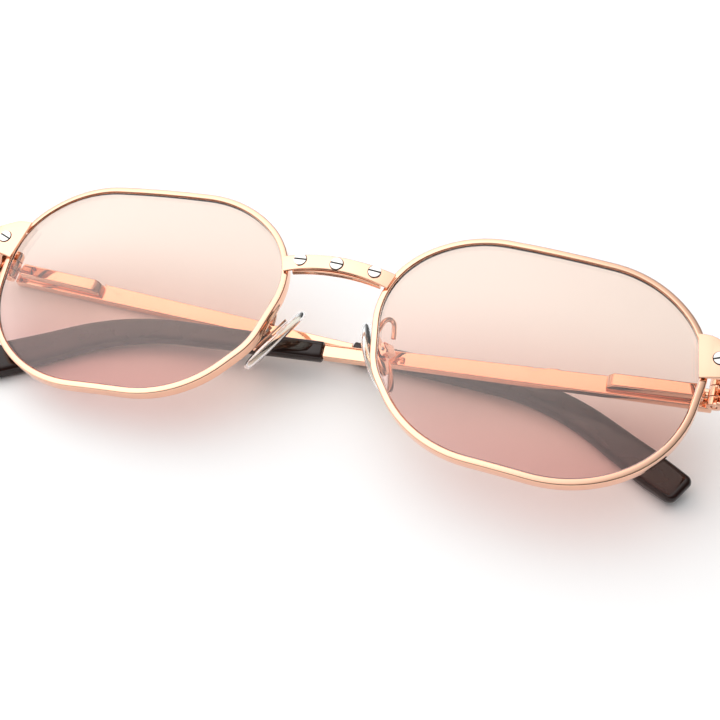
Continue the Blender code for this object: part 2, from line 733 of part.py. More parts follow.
def build_spring_housing(name, side, axis_empty, droop):
    """The raised box on the bar's inner face, with a blind round bore."""
    middle = (HOUSING_INNER + HOUSING_OUTER) / 2.0
    half_w = (HOUSING_OUTER - HOUSING_INNER) / 2.0
    sides = 16

    def ring(u, half_v, half_out, round_share):
        points = []
        for i in range(sides):
            angle = 2.0 * math.pi * (i + 0.5) / sides
            cos_a, sin_a = math.cos(angle), math.sin(angle)
            stretch = 1.0 / max(abs(cos_a), abs(sin_a))
            stretch = 1.0 + (stretch - 1.0) * round_share
            v, out = cos_a * half_v * stretch, sin_a * half_out * stretch
            points.append(temple_point(drooped((u, v, middle + out), droop), side))
        return points

    outer = [
        ring(HOUSING_START, HOUSING_HALF_HEIGHT, half_w, 0.9),
        ring(HOUSING_END - 0.4 * MM, HOUSING_HALF_HEIGHT, half_w, 0.9),
        ring(HOUSING_END, HOUSING_HALF_HEIGHT * 0.8, half_w * 0.8, 0.9),
    ]
    inner = [
        ring(HOUSING_START, BORE_RADIUS, BORE_RADIUS, 0.0),
        ring(BORE_END, BORE_RADIUS, BORE_RADIUS, 0.0),
    ]
    bm = bmesh.new()
    sleeve(bm, outer, inner)
    return add_object(f"{name}_spring_housing", bm, "rose_gold", axis_empty)


def build_flex_parts(name, side, carrier, axis_empty, droop):
    """The slider with the middle barrel, its stop, its spring and its nut."""
    levels = barrel_levels()
    low, high = levels[1][0] - HINGE_Y, levels[1][1] - HINGE_Y
    bm = bmesh.new()
    rod(bm, (0.0, low, 0.0), (0.0, high, 0.0), BARREL_RADIUS, 24)
    slider = add_object(f"{name}_hinge_slider", bm, "rose_gold", carrier)
    neck = bmesh.new()
    start = temple_point(drooped((0.6 * MM, 0.0, 1.0 * MM), droop), side)
    rod(neck, start, housing_axis_point(STOP_START - 0.2 * MM, side, droop), 0.62 * MM, 12)
    combine(slider, guide(f"{name}_slider_neck", neck, carrier), "UNION")
    shaft = bmesh.new()
    start = housing_axis_point(STOP_START - 1.0 * MM, side, droop)
    rod(shaft, start, housing_axis_point(ROD_END, side, droop), ROD_RADIUS, 12)
    combine(slider, guide(f"{name}_slider_rod", shaft, carrier), "UNION")
    hole = bmesh.new()
    rod(hole, (0.0, low - MM, 0.0), (0.0, high + MM, 0.0), PIN_RADIUS + FIT_GAP, 20)
    combine(slider, guide(f"{name}_slider_bore", hole, carrier), "DIFFERENCE")

    rod_hole = ROD_RADIUS + 0.08 * MM
    stop = bmesh.new()
    start = housing_axis_point(STOP_START, side, droop)
    end = housing_axis_point(STOP_END, side, droop)
    tube(stop, start, end, BORE_RADIUS - 0.08 * MM, rod_hole, 12)
    add_object(f"{name}_spring_stop", stop, "steel", axis_empty)
    nut = bmesh.new()
    start = housing_axis_point(SPRING_END + 0.25 * MM, side, droop)
    end = housing_axis_point(SPRING_END + 0.25 * MM + NUT_LENGTH, side, droop)
    tube(nut, start, end, BORE_RADIUS - 0.12 * MM, rod_hole, 12)
    add_object(f"{name}_spring_nut", nut, "steel", carrier)
    build_spring(name, side, axis_empty, droop)


def build_spring(name, side, axis_empty, droop):
    """The coil spring between the stop and the nut."""
    start = STOP_END + 0.35 * MM
    steps_per_turn = 10
    count = SPRING_TURNS * steps_per_turn
    middle = (HOUSING_INNER + HOUSING_OUTER) / 2.0
    rings = []
    for i in range(count + 1):
        angle = 2.0 * math.pi * i / steps_per_turn
        u = start + (SPRING_END - 0.15 * MM - start) * i / count
        radial = Vector((0.0, math.cos(angle), math.sin(angle)))
        centre = Vector((u, 0.0, middle)) + radial * SPRING_RADIUS
        ring = []
        for k in range(4):
            turn = 2.0 * math.pi * k / 4
            offset = radial * math.cos(turn) + Vector((1.0, 0.0, 0.0)) * math.sin(turn)
            place = centre + offset * SPRING_WIRE
            ring.append(temple_point(drooped(tuple(place), droop), side))
        rings.append(ring)
    bm = bmesh.new()
    loft(bm, rings)
    return add_object(f"{name}_flex_spring", bm, "spring_steel", axis_empty)


# Nose pads ----------------------------------------------------------------------------------
def pad_frame(side):
    """Axes of a pad: its length, its width and the normal that faces the nose."""
    normal = Vector((side * PAD_NORMAL.x, PAD_NORMAL.y, PAD_NORMAL.z)).normalized()
    length = Vector((side * PAD_LENGTH_DIR.x, PAD_LENGTH_DIR.y, PAD_LENGTH_DIR.z))
    length = (length - normal * length.dot(normal)).normalized()
    width = normal.cross(length)
    frame = Matrix((width, length, normal)).transposed().to_4x4()
    frame.translation = Vector((side * PAD_CENTRE.x, PAD_CENTRE.y, PAD_CENTRE.z))
    return frame


def build_pad_arm(name, side, front):
    """The bent wire from the rim to the pad box."""
    points = [Vector((side * x, y, z)) * MM for x, y, z in ARM_POINTS]
    smooth = []
    padded = [2.0 * points[0] - points[1]] + points + [2.0 * points[-1] - points[-2]]
    steps = 5
    for i in range(1, len(padded) - 2):
        p0, p1, p2, p3 = padded[i - 1 : i + 3]
        for step in range(steps):
            t = step / steps
            bend = (p2 - p0) * t
            bend += (2.0 * p0 - 5.0 * p1 + 4.0 * p2 - p3) * t * t
            bend += (3.0 * p1 - p0 - 3.0 * p2 + p3) * t * t * t
            smooth.append(p1 + bend / 2.0)
    smooth.append(points[-1])
    rings = []
    side_dir = Vector((1.0, 0.0, 0.0))
    for i, point in enumerate(smooth):
        ahead = smooth[min(i + 1, len(smooth) - 1)]
        behind = smooth[max(i - 1, 0)]
        along = (ahead - behind).normalized()
        side_dir = (side_dir - along * side_dir.dot(along)).normalized()
        up = along.cross(side_dir)
        turns = [2.0 * math.pi * k / 8 for k in range(8)]
        rings.append([point + ARM_RADIUS * (math.cos(t) * side_dir + math.sin(t) * up) for t in turns])
    bm = bmesh.new()
    loft(bm, rings)
    return add_object(f"{name}_pad_arm", bm, "rose_gold", front)


def build_pad_box(name, side, front):
    """The small open box that holds the pad's boss."""
    frame = pad_frame(side)
    half_w, half_l = PAD_BOX_SIZE.x / 2.0, PAD_BOX_SIZE.y / 2.0
    top = -PAD_THICKNESS / 2.0 - PAD_PLATE_THICKNESS - 0.5 * MM
    bm = bmesh.new()
    block(bm, (-half_w, -half_l, top - PAD_BOX_SIZE.z), (half_w, half_l, top), frame)
    box = add_object(f"{name}_pad_box", bm, "rose_gold", front)
    inside = bmesh.new()
    low = (PAD_BOX_WALL - half_w, PAD_BOX_WALL - half_l, top - PAD_BOX_SIZE.z + PAD_BOX_WALL)
    block(inside, low, (half_w - PAD_BOX_WALL, half_l - PAD_BOX_WALL, top + MM), frame)
    combine(box, guide(f"{name}_pad_box_inside", inside, front), "DIFFERENCE")
    hole = bmesh.new()
    level = top - PAD_BOX_SIZE.z / 2.0 + 0.05 * MM
    start = frame @ Vector((-half_w - MM, 0.0, level))
    rod(hole, start, frame @ Vector((half_w + MM, 0.0, level)), 0.32 * MM, 12)
    combine(box, guide(f"{name}_pad_box_hole", hole, front), "DIFFERENCE")


def pad_pivot(side):
    top = -PAD_THICKNESS / 2.0 - PAD_PLATE_THICKNESS - 0.5 * MM
    return pad_frame(side) @ Vector((0.0, 0.0, top - PAD_BOX_SIZE.z / 2.0 + 0.05 * MM))


def build_pad(name, side, front):
    """The clear pad, its metal plate with the boss, and the screw it rocks on."""
    frame = pad_frame(side)
    pivot = pad_pivot(side)
    empty = add_empty(f"{name}_pad_axis", front, Matrix.Translation(pivot))
    local = Matrix.Translation(-pivot) @ frame
    sides = 24

    def oval(length, width, level):
        points = []
        for i in range(sides):
            angle = 2.0 * math.pi * i / sides
            taper = 1.0 - 0.12 * math.sin(angle)
            x = math.cos(angle) * width / 2.0 * taper
            y = math.sin(angle) * length / 2.0
            points.append(local @ Vector((x, y, level)))
        return points

    half = PAD_THICKNESS / 2.0
    bm = bmesh.new()
    rings = [
        oval(PAD_LENGTH * 0.88, PAD_WIDTH * 0.82, -half),
        oval(PAD_LENGTH * 0.97, PAD_WIDTH * 0.96, -half * 0.55),
        oval(PAD_LENGTH, PAD_WIDTH, 0.0),
        oval(PAD_LENGTH * 0.95, PAD_WIDTH * 0.92, half * 0.6),
        oval(PAD_LENGTH * 0.75, PAD_WIDTH * 0.68, half),
    ]
    loft(bm, rings)
    add_object(f"{name}_nose_pad", bm, "clear_silicone", empty)

    plate = bmesh.new()
    top = -half - 0.12 * MM
    levels = (top - PAD_PLATE_THICKNESS, top)
    loft(plate, [oval(PAD_LENGTH * 0.55, PAD_WIDTH * 0.45, level) for level in levels])
    mount = add_object(f"{name}_pad_plate", plate, "rose_gold", empty)
    boss = bmesh.new()
    half_w = PAD_BOX_SIZE.x / 2.0 - PAD_BOX_WALL - 0.12 * MM
    low = (-half_w, -0.42 * MM, -half - PAD_PLATE_THICKNESS - 0.5 * MM - PAD_BOX_SIZE.z + 0.55 * MM)
    block(boss, low, (half_w, 0.42 * MM, top - 0.1 * MM), local)
    combine(mount, guide(f"{name}_pad_boss", boss, empty), "UNION")
    hole = bmesh.new()
    width_dir = (frame.to_3x3() @ Vector((1.0, 0.0, 0.0))).normalized()
    rod(hole, -width_dir * 2.0 * MM, width_dir * 2.0 * MM, 0.3 * MM, 12)
    combine(mount, guide(f"{name}_pad_boss_hole", hole, empty), "DIFFERENCE")

    seat = pivot + width_dir * (PAD_BOX_SIZE.x / 2.0 + FIT_GAP)
    length = PAD_BOX_SIZE.x + 0.3 * MM
    build_screw(f"{name}_pad_screw", front, seat, width_dir, length, 0.3, scale=0.42)


def build_side(name, side, front):
    build_rim(name, side, front)
    build_lens(name, side, front)
    build_endpiece(name, side, front)
    build_rim_lock(name, side, front)
    build_hinge_front(name, side, front)
    seat = (side * ENDPIECE_SCREW_X, ENDPIECE_SCREW_Y, ENDPIECE_FRONT_Z + STACK_GAP)
    build_screw(f"{name}_endpiece_screw", front, seat, (0.0, 0.0, 1.0), 1.1 * MM, side * 0.3)
    levels = barrel_levels()
    seat = (side * HINGE_X, levels[2][1] + 0.1 * MM, HINGE_Z)
    length = levels[2][1] - levels[0][0] + 0.2 * MM
    build_screw(f"{name}_hinge_screw", front, seat, (0.0, 1.0, 0.0), length, 0.4, scale=0.9)
    seat = (side * LOCK_X, LOCK_UPPER_Y[1] + 0.1 * MM, sum(LOCK_Z) / 2.0)
    build_screw(f"{name}_lock_screw", front, seat, (0.0, 1.0, 0.0), LOCK_SCREW_LENGTH, 0.9, scale=0.5)
    build_pad_arm(name, side, front)
    build_pad_box(name, side, front)
    build_pad(name, side, front)

    droop = DROOP[name]
    place = Matrix.Translation((side * HINGE_X, HINGE_Y, HINGE_Z))
    place = place @ Matrix.Rotation(side * FOLD[name], 4, "Y")
    carrier = add_empty(f"{name}_hinge_axis", front, place)
    temple = add_empty(f"{name}_flex_axis", carrier, Matrix.Identity(4))
    build_temple_bar(name, side, temple, droop)
    build_temple_tip(name, side, temple, droop)
    build_spring_housing(name, side, temple, droop)
    build_flex_parts(name, side, carrier, temple, droop)


def rest_on_table(front):
    """Lowers the tilted front so that the lowest vertex lies on the table."""
    bpy.context.view_layer.update()
    graph = bpy.context.evaluated_depsgraph_get()
    corners = []
    for obj in bpy.data.objects:
        if obj.type != "MESH" or obj.hide_render:
            continue
        shape = obj.evaluated_get(graph)
        corners += [obj.matrix_world @ vert.co for vert in shape.data.vertices]
    low = [min(c[i] for c in corners) for i in range(3)]
    high = [max(c[i] for c in corners) for i in range(3)]
    front.location.x -= (low[0] + high[0]) / 2.0
    front.location.y -= (low[1] + high[1]) / 2.0
    front.location.z -= low[2]


def main():
    clear_scene()
    tilt = Matrix.Rotation(REST_TILT_Y, 4, "Y") @ Matrix.Rotation(REST_TILT_X, 4, "X")
    front = add_empty("front_frame", None, tilt)
    build_bridge_plate(front)
    build_bridge_bar(front)
    for label, x, turn in (("right", -1.0, 0.1), ("middle", 0.0, -0.05), ("left", 1.0, -0.3)):
        centre_x = x * BRIDGE_SCREW_PITCH
        front_z = BRIDGE_FRONT_Z - BRIDGE_END_BACK * bridge_sag(centre_x)
        seat = (centre_x, BRIDGE_SCREW_Y, front_z + STACK_GAP)
        build_screw(f"bridge_screw_{label}", front, seat, (0.0, 0.0, 1.0), 2.2 * MM, turn)
    for name, side in SIDES.items():
        build_side(name, side, front)
    rest_on_table(front)
    bpy.context.view_layer.update()


main()
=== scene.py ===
"""Looks of a folded pair of metal-framed sunglasses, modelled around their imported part.

The front is shaped in its own frame: x across the face, y up the face, z out of the
lenses.  Each temple is shaped in a frame of its own: u along the temple, v up, w outwards.
Both are then laid where the part's hinge joints say that they are.
"""

import json
import math
import bmesh
import bpy
from bpy.props import FloatProperty, FloatVectorProperty, PointerProperty
from mathutils import Matrix, Quaternion, Vector


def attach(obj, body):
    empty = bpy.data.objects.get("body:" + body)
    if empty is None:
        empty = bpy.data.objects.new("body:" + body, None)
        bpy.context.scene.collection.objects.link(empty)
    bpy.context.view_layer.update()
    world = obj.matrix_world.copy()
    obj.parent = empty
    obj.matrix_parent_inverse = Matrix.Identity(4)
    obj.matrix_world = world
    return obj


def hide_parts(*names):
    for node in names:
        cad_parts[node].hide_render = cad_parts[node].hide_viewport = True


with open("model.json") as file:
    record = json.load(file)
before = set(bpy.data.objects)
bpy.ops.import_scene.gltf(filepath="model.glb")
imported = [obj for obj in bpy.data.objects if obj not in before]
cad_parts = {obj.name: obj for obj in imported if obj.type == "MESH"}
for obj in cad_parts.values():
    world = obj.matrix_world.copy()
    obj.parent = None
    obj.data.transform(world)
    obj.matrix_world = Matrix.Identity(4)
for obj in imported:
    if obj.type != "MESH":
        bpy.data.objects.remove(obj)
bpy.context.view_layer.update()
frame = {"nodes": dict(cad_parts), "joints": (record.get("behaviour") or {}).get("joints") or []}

bl_info = {
    "name": "Folded Sunglasses",
    "version": (1, 0, 0),
    "blender": (4, 5, 0),
    "location": "View3D > Sidebar > Eyewear",
    "description": "Models the finished surfaces of folded metal sunglasses",
    "category": "Object",
}

MM = 0.001
SIDES = {"left": 1.0, "right": -1.0}
ALL_NODES = frame["nodes"]

# Attitude on the table, hinge place and fold of each temple
REST_TILT_X = math.radians(17.1)
REST_TILT_Y = math.radians(-3.6)
HINGE = Vector((67.5, 7.2, -12.0)) * MM
FOLD = {"left": math.radians(91.0), "right": math.radians(86.7)}
DROOP = {"left": math.radians(3.9), "right": math.radians(1.0)}

# Lens opening: corners of the eight-sided shape in mm from its centre, with their radii
LENS_CENTRE_X = 37.0 * MM
FACE_RADIUS = 136.0 * MM
FACE_WRAP = math.radians(2.9)
LENS_CORNERS = (
    (28.4, 12.2, 15.0),
    (17.3, 22.6, 19.0),
    (-15.2, 24.0, 20.0),
    (-29.0, 14.1, 15.0),
    (-25.2, -3.8, 12.0),
    (-15.9, -16.3, 21.0),
    (11.6, -17.8, 23.0),
    (25.6, -8.4, 20.0),
)
CORNER_STEPS = 12
SECTION_STEPS = 4
FINE_STEPS = 5
FULLEST_ROUND = 0.98
STRAIGHT_STEPS = 4
RIM_WIDTH = 1.15 * MM
RIM_DEPTH = 2.3 * MM
GROOVE_DEPTH = 0.4 * MM
GROOVE_HALF = 0.65 * MM
RIM_SLIT = 0.3 * MM
LENS_THICKNESS = 1.6 * MM
LENS_GAP = 0.12 * MM
LENS_BEVEL = 0.22 * MM
LENS_RINGS = 10
LENS_POLE_SHARE = 0.3
LENS_EDGE_BREAK = 0.05 * MM
TINT_LEVELS = (-20.0 * MM, 16.0 * MM)

# Bridge
BRIDGE_HALF_TOP = 10.6 * MM
BRIDGE_HALF_BOTTOM = 9.7 * MM
BRIDGE_TOP_Y = 14.9 * MM
BRIDGE_BOTTOM_Y = 12.2 * MM
BRIDGE_END_DROP = 0.9 * MM
BRIDGE_BOTTOM_DROP_SHARE = 1.3
BRIDGE_END_BACK = 1.3 * MM
BRIDGE_PLATE_THICKNESS = 0.8 * MM
BRIDGE_PLATE_END = 0.4 * MM
BRIDGE_BAR_THICKNESS = 1.2 * MM
BRIDGE_BAR_HEIGHT = 2.0 * MM
BRIDGE_BAR_HALF = 8.2 * MM
BRIDGE_BAR_DROP = 0.55 * MM
BRIDGE_STEPS = 40
BRIDGE_SCREW_PITCH = 7.0 * MM
BRIDGE_SCREW_Y = 13.45 * MM
BRIDGE_SCREW_TURNS = {"right": 0.06, "middle": -0.06, "left": -0.1}

# Fasteners
HEAD_RADIUS = 1.15 * MM
HEAD_HEIGHT = 0.35 * MM
SHANK_RADIUS = 0.5 * MM
SLOT_WIDTH = 0.3 * MM
SLOT_DEPTH = 0.18 * MM
STACK_GAP = 0.2 * MM
SEAT_RADIUS = 1.3 * MM
SEAT_DEPTH = 0.12 * MM
SEAT_CLEARANCE = 0.02 * MM
HOLE_REACH = 3.0 * MM
HOLE_SHARE = 1.2
HEAD_SIDES = 56
HEAD_BREAK = 0.03 * MM
HEAD_BREAK_ANGLE = math.radians(35.0)
# Inset and rise of each step of the crown, and of the shank's end, as shares of their sizes
HEAD_CROWN = ((0.16, 0.04), (0.3, 0.03))
SHANK_POINT = (0.3, 0.25)
SAW_LENGTH_SHARE = 3.0
SAW_LEVEL_SHARE = 1.1
BRIDGE_SCREW_LENGTH = 2.0 * MM
ENDPIECE_SCREW_LENGTH = 1.0 * MM
LOCK_SCREW_LENGTH = 3.8 * MM
PAD_SCREW_LENGTH = 2.9 * MM
UPRIGHT_HEAD_GAP = 0.1 * MM
HINGE_SCREW_SCALE = 0.9
LOCK_SCREW_SCALE = 0.5
PAD_SCREW_SCALE = 0.42
ENDPIECE_SCREW_TURN = 0.35
HINGE_SCREW_TURN = 0.5
LOCK_SCREW_TURN = 0.9
PAD_SCREW_TURN = 0.3
PAD_SCREW_RISE = 0.05 * MM

# Endpieces: x at four heights, lowest and highest y, depth z, thickness and turn
ENDPIECE_SCREW = Vector((67.1, 9.7, -3.75)) * MM
ENDPIECE_STATIONS = (
    ((64.25, 64.35, 63.9, 62.9), 5.5, 13.6, -3.6, 0.45, 0.0),
    ((65.9, 65.9, 65.6, 65.2), 5.9, 13.6, -3.66, 0.6, 0.0),
    ((67.8, 67.8, 67.8, 67.4), 6.3, 12.8, -3.78, 1.0, 0.0),
    ((69.6, 69.6, 69.6, 69.4), 6.8, 11.9, -4.0, 1.1, 0.25),
    ((70.9, 70.9, 70.9, 70.8), 7.0, 11.3, -4.75, 1.2, 0.8),
    ((71.4, 71.4, 71.4, 71.4), 6.9, 10.9, -6.0, 1.2, 1.5708),
    ((71.4, 71.4, 71.4, 71.4), 5.5, 9.4, -11.6, 1.2, 1.5708),
)
ENDPIECE_STEPS = 5
LOCK_X = 67.2 * MM
LOCK_HALF_WIDTH = 1.0 * MM
LOCK_UPPER_Y = (10.9 * MM, 12.2 * MM)
LOCK_Z = (-7.0 * MM, -4.15 * MM)
LOCK_SCREW_Z = -6.0 * MM
LOCK_EDGE = 0.12 * MM
BARREL_TOP_Y = 9.8 * MM
BARREL_SPAN = 5.2 * MM

# Temples
BAR_OFFSET = 3.25 * MM
BAR_THICKNESS = 1.8 * MM
BAR_HEIGHTS = (3.9 * MM, 2.7 * MM)
BAR_START = 0.3 * MM
SLEEVE_START = 69.6 * MM
BEND_START = 97.0 * MM
BEND_RADIUS = 41.0 * MM
BEND_ANGLE = math.radians(30.0)
TEMPLE_LENGTH = 135.6 * MM
TIP_CURL = 3.5
SLEEVE_HEIGHTS = (3.9 * MM, 6.8 * MM)
SLEEVE_THICKNESSES = (3.0 * MM, 3.4 * MM)
SLEEVE_FLARE = 1.7
SLEEVE_END_ROUND = 1.25 * MM
CORE_END = 126.0 * MM
CORE_SIZE = (1.9 * MM, 1.0 * MM)
CORE_EDGE = 0.2 * MM
BAR_STEPS = 36
CORE_STEPS = 24
BAR_END_BREAK = 0.12 * MM
BAR_TO_SLEEVE = 0.3 * MM
CORE_SHOULDER = 0.01 * MM
POCKET_GAP = 0.25 * MM
POCKET_EDGE = 0.3 * MM
POCKET_PAST_CORE = 0.3 * MM
POCKET_STEPS = 16
SLEEVE_LIP = 0.35 * MM
SLEEVE_STEPS = 44
SLEEVE_PAST_END = 0.75 * MM
SLEEVE_FIT = 0.97
SLEEVE_NARROWING = 0.12
SLEEVE_NARROWING_START = 0.9
HOUSING_SPAN = (1.9 * MM, 18.4 * MM)
HOUSING_HEIGHT = 2.5 * MM
HOUSING_WIDTHS = (-0.15 * MM, 2.2 * MM)
HOUSING_NOSE = 1.3 * MM
HOUSING_EDGE_SHARE = 1.3
HOUSING_MOUTH_BREAK = 0.1 * MM
HOUSING_MOUTH_LENGTH = 0.12 * MM
HOUSING_STRAIGHT_STEP = 4.0 * MM
# The nose: share of it left, and how far it has drawn in from above and from inside, in mm
HOUSING_NOSE_SLOPE = (
    (1.0, 0.0, 0.0),
    (0.85, 0.0, 0.06),
    (0.25, 0.06, 0.8),
    (0.06, 0.12, 1.1),
    (0.0, 0.25, 1.3),
)
BORE_RADIUS = 0.8 * MM
BORE_END = 17.4 * MM

# Nose pads
PAD_CENTRE = Vector((9.7, 0.6, -8.6)) * MM
PAD_NORMAL = Vector((-0.76, -0.43, -0.49))
PAD_LENGTH_DIR = Vector((-0.49, 0.87, 0.0))
PAD_SIZE = Vector((7.0, 15.0, 2.0)) * MM
PAD_FACE_POWER = 0.6
PAD_EDGE_POWER = 0.62
PAD_TAPER = 0.12
PAD_DISH = 0.12
PAD_FILL = 0.48
PAD_BOX_SIZE = Vector((2.6, 2.0, 1.4)) * MM
PAD_BOX_LEVEL = -1.9 * MM
ARM_RADIUS = 0.45 * MM
ARM_MERGE_DISTANCE = 0.001 * MM
ARM_POINTS = (
    (9.5, 1.6, -4.4),
    (9.9, 4.3, -4.7),
    (10.7, 6.6, -5.3),
    (11.5, 6.9, -6.5),
    (11.9, 5.6, -7.2),
    (12.1, 4.2, -7.5),
)

# Camera, in the front's frame
CAMERA_PLACE = Vector((65.13, -87.22, 186.2)) * MM
CAMERA_AIM = Vector((9.34, -4.01, 0.0)) * MM
CAMERA_ROLL = math.radians(-1.37)
CAMERA_LENS_MM = 62.5
SENSOR_MM = 36.0

FLOOR_HALF = 1.6
FLOOR_DROP = 0.02 * MM
SMOOTH_ANGLE = math.radians(32.0)
MERGE_DISTANCE = 0.002 * MM
FLAT_ANGLE = math.radians(0.6)

# Edges rounded on the pieces that keep the part's own shape
SOFTENED_ANGLE = math.radians(40.0)
LOCK_SOFTENING = 0.06 * MM
KNUCKLE_SOFTENING = 0.12 * MM
SLIDER_SOFTENING = 0.1 * MM
PAD_BOX_SOFTENING = 0.06 * MM
PAD_PLATE_SOFTENING = 0.05 * MM

# Studio tent: where it is brightest, and its grey at each nearness to that direction
TENT_BRIGHTEST = Vector((-0.55, 0.1, 0.83))
TENT_LEVELS = ((0.0, 0.03), (0.2, 0.06), (0.42, 0.16), (0.62, 0.4), (0.8, 0.7), (0.96, 1.0))
TENT_STRENGTH = 2.15
FILL_PLACE = (-0.15, 0.1, 0.8)
FILL_SIZE = (1.6, 1.6)
FILL_WATTS = 2.6


# Sizes and colours a user may change -------------------------------------------------------
class EyewearSizes(bpy.types.PropertyGroup):
    """Edge sizes of the finished pieces."""

    rim_edge: FloatProperty(
        name="Rim Edge",
        description="Radius along the edges of the rims",
        default=0.24 * MM,
        min=0.05 * MM,
        max=0.5 * MM,
        unit="LENGTH",
        precision=5,
    )
    bar_edge: FloatProperty(
        name="Bar Edge",
        description="Radius along the edges of the temple bars and housings",
        default=0.26 * MM,
        min=0.05 * MM,
        max=0.6 * MM,
        unit="LENGTH",
        precision=5,
    )
    plate_edge: FloatProperty(
        name="Plate Edge",
        description="Radius along the edges of the bridge and endpiece plates",
        default=0.14 * MM,
        min=0.03 * MM,
        max=0.3 * MM,
        unit="LENGTH",
        precision=5,
    )
    tip_edge: FloatProperty(
        name="Tip Edge",
        description="Radius along the edges of the temple tips",
        default=1.15 * MM,
        min=0.3 * MM,
        max=1.4 * MM,
        unit="LENGTH",
        precision=5,
    )


class EyewearColours(bpy.types.PropertyGroup):
    """Colours of the finishes."""

    gold: FloatVectorProperty(
        name="Rose Gold",
        description="Colour of the polished plating",
        subtype="COLOR",
        default=(0.93, 0.57, 0.41),
        min=0.0,
        max=1.0,
    )
    steel: FloatVectorProperty(
        name="Steel",
        description="Colour of the screw heads",
        subtype="COLOR",
        default=(0.74, 0.72, 0.69),
        min=0.0,
        max=1.0,
    )
    lens_top: FloatVectorProperty(
        name="Lens Top",
        description="Tint at the top of the lenses",
        subtype="COLOR",
        default=(0.88, 0.73, 0.64),
        min=0.0,
        max=1.0,
    )
    lens_bottom: FloatVectorProperty(
        name="Lens Bottom",
        description="Tint at the bottom of the lenses",
        subtype="COLOR",
        default=(0.76, 0.48, 0.45),
        min=0.0,
        max=1.0,
    )
    tip: FloatVectorProperty(
        name="Tips",
        description="Colour of the moulded temple tips",
        subtype="COLOR",
        default=(0.012, 0.006, 0.005),
        min=0.0,
        max=1.0,
    )
    pad: FloatVectorProperty(
        name="Nose Pads",
        description="Tint of the clear nose pads",
        subtype="COLOR",
        default=(0.92, 0.90, 0.80),
        min=0.0,
        max=1.0,
    )


# Frames ------------------------------------------------------------------------------------
def joint_place(name):
    joint = next(j for j in frame["joints"] if j["name"] == name)
    return Vector(joint["pos_m"])


def front_frame():
    """The front's own frame, laid so that its hinge is where the part has it."""
    turn = Matrix.Rotation(REST_TILT_Y, 4, "Y") @ Matrix.Rotation(REST_TILT_X, 4, "X")
    turn.translation = joint_place("left_temple_hinge") - turn @ HINGE
    return turn


FRONT = front_frame()


def temple_frame(name):
    side = SIDES[name]
    hinge = Matrix.Translation((side * HINGE.x, HINGE.y, HINGE.z))
    return FRONT @ hinge @ Matrix.Rotation(side * FOLD[name], 4, "Y")


def pad_frame(side):
    """Axes of a pad: its width, its length and the normal that faces the nose."""
    normal = Vector((side * PAD_NORMAL.x, PAD_NORMAL.y, PAD_NORMAL.z)).normalized()
    length = Vector((side * PAD_LENGTH_DIR.x, PAD_LENGTH_DIR.y, PAD_LENGTH_DIR.z))
    length = (length - normal * length.dot(normal)).normalized()
    local = Matrix((normal.cross(length), length, normal)).transposed().to_4x4()
    local.translation = Vector((side * PAD_CENTRE.x, PAD_CENTRE.y, PAD_CENTRE.z))
    return FRONT @ local


# Modelling helpers --------------------------------------------------------------------------
def deselect_all():
    if bpy.context.mode != "OBJECT":
        bpy.ops.object.mode_set(mode="OBJECT")
    bpy.ops.object.select_all(action="DESELECT")


def pick(obj):
    deselect_all()
    obj.select_set(True)
    bpy.context.view_layer.objects.active = obj


def selected_ring(last):
    """The newly extruded vertices, in the order of the ones that they came from."""
    ring = []
    for vert in last:
        ring.append(next(e.other_vert(vert) for e in vert.link_edges if e.other_vert(vert).select))
    return ring


def skin(name, rings, closed=False, ends="fill"):
    """A circle is laid on the first ring and extruded on to each next one."""
    deselect_all()
    bpy.ops.mesh.primitive_circle_add(vertices=len(rings[0]), fill_type="NOTHING")
    obj = bpy.context.object
    obj.name = name
    bpy.ops.object.mode_set(mode="EDIT")
    bpy.ops.mesh.select_all(action="SELECT")
    bm = bmesh.from_edit_mesh(obj.data)
    bm.verts.ensure_lookup_table()
    first = list(range(len(rings[0])))
    for index, place in zip(first, rings[0]):
        bm.verts[index].co = place
    last = first
    for ring in rings[1:]:
        bpy.ops.mesh.extrude_edges_move()
        bm = bmesh.from_edit_mesh(obj.data)
        bm.verts.index_update()
        bm.verts.ensure_lookup_table()
        made = selected_ring([bm.verts[i] for i in last])
        for vert, place in zip(made, ring):
            vert.co = place
        last = [vert.index for vert in made]
    if closed:
        select_rings(obj, [first, last])
        bpy.ops.mesh.bridge_edge_loops()
    else:
        close_ends(obj, [first, last], ends)
    bpy.ops.mesh.select_all(action="SELECT")
    bpy.ops.mesh.normals_make_consistent(inside=False)
    bpy.ops.object.mode_set(mode="OBJECT")
    return obj


def select_rings(obj, rings):
    bpy.ops.mesh.select_all(action="DESELECT")
    bm = bmesh.from_edit_mesh(obj.data)
    bm.verts.ensure_lookup_table()
    for ring in rings:
        for index in ring:
            bm.verts[index].select = True
    bm.select_flush(True)
    for ring in rings:
        chosen = set(ring)
        for index in ring:
            for edge in bm.verts[index].link_edges:
                edge.select = all(v.index in chosen for v in edge.verts) or edge.select
    bmesh.update_edit_mesh(obj.data)


def close_ends(obj, rings, ends):
    """Fills both ends flat, or draws each together to a point."""
    for ring in reversed(rings):
        select_rings(obj, [ring])
        if ends == "fill":
            bpy.ops.mesh.edge_face_add()
        else:
            bpy.ops.mesh.merge(type="CENTER")


def laid(place, points):
    return [place @ Vector(point) for point in points]


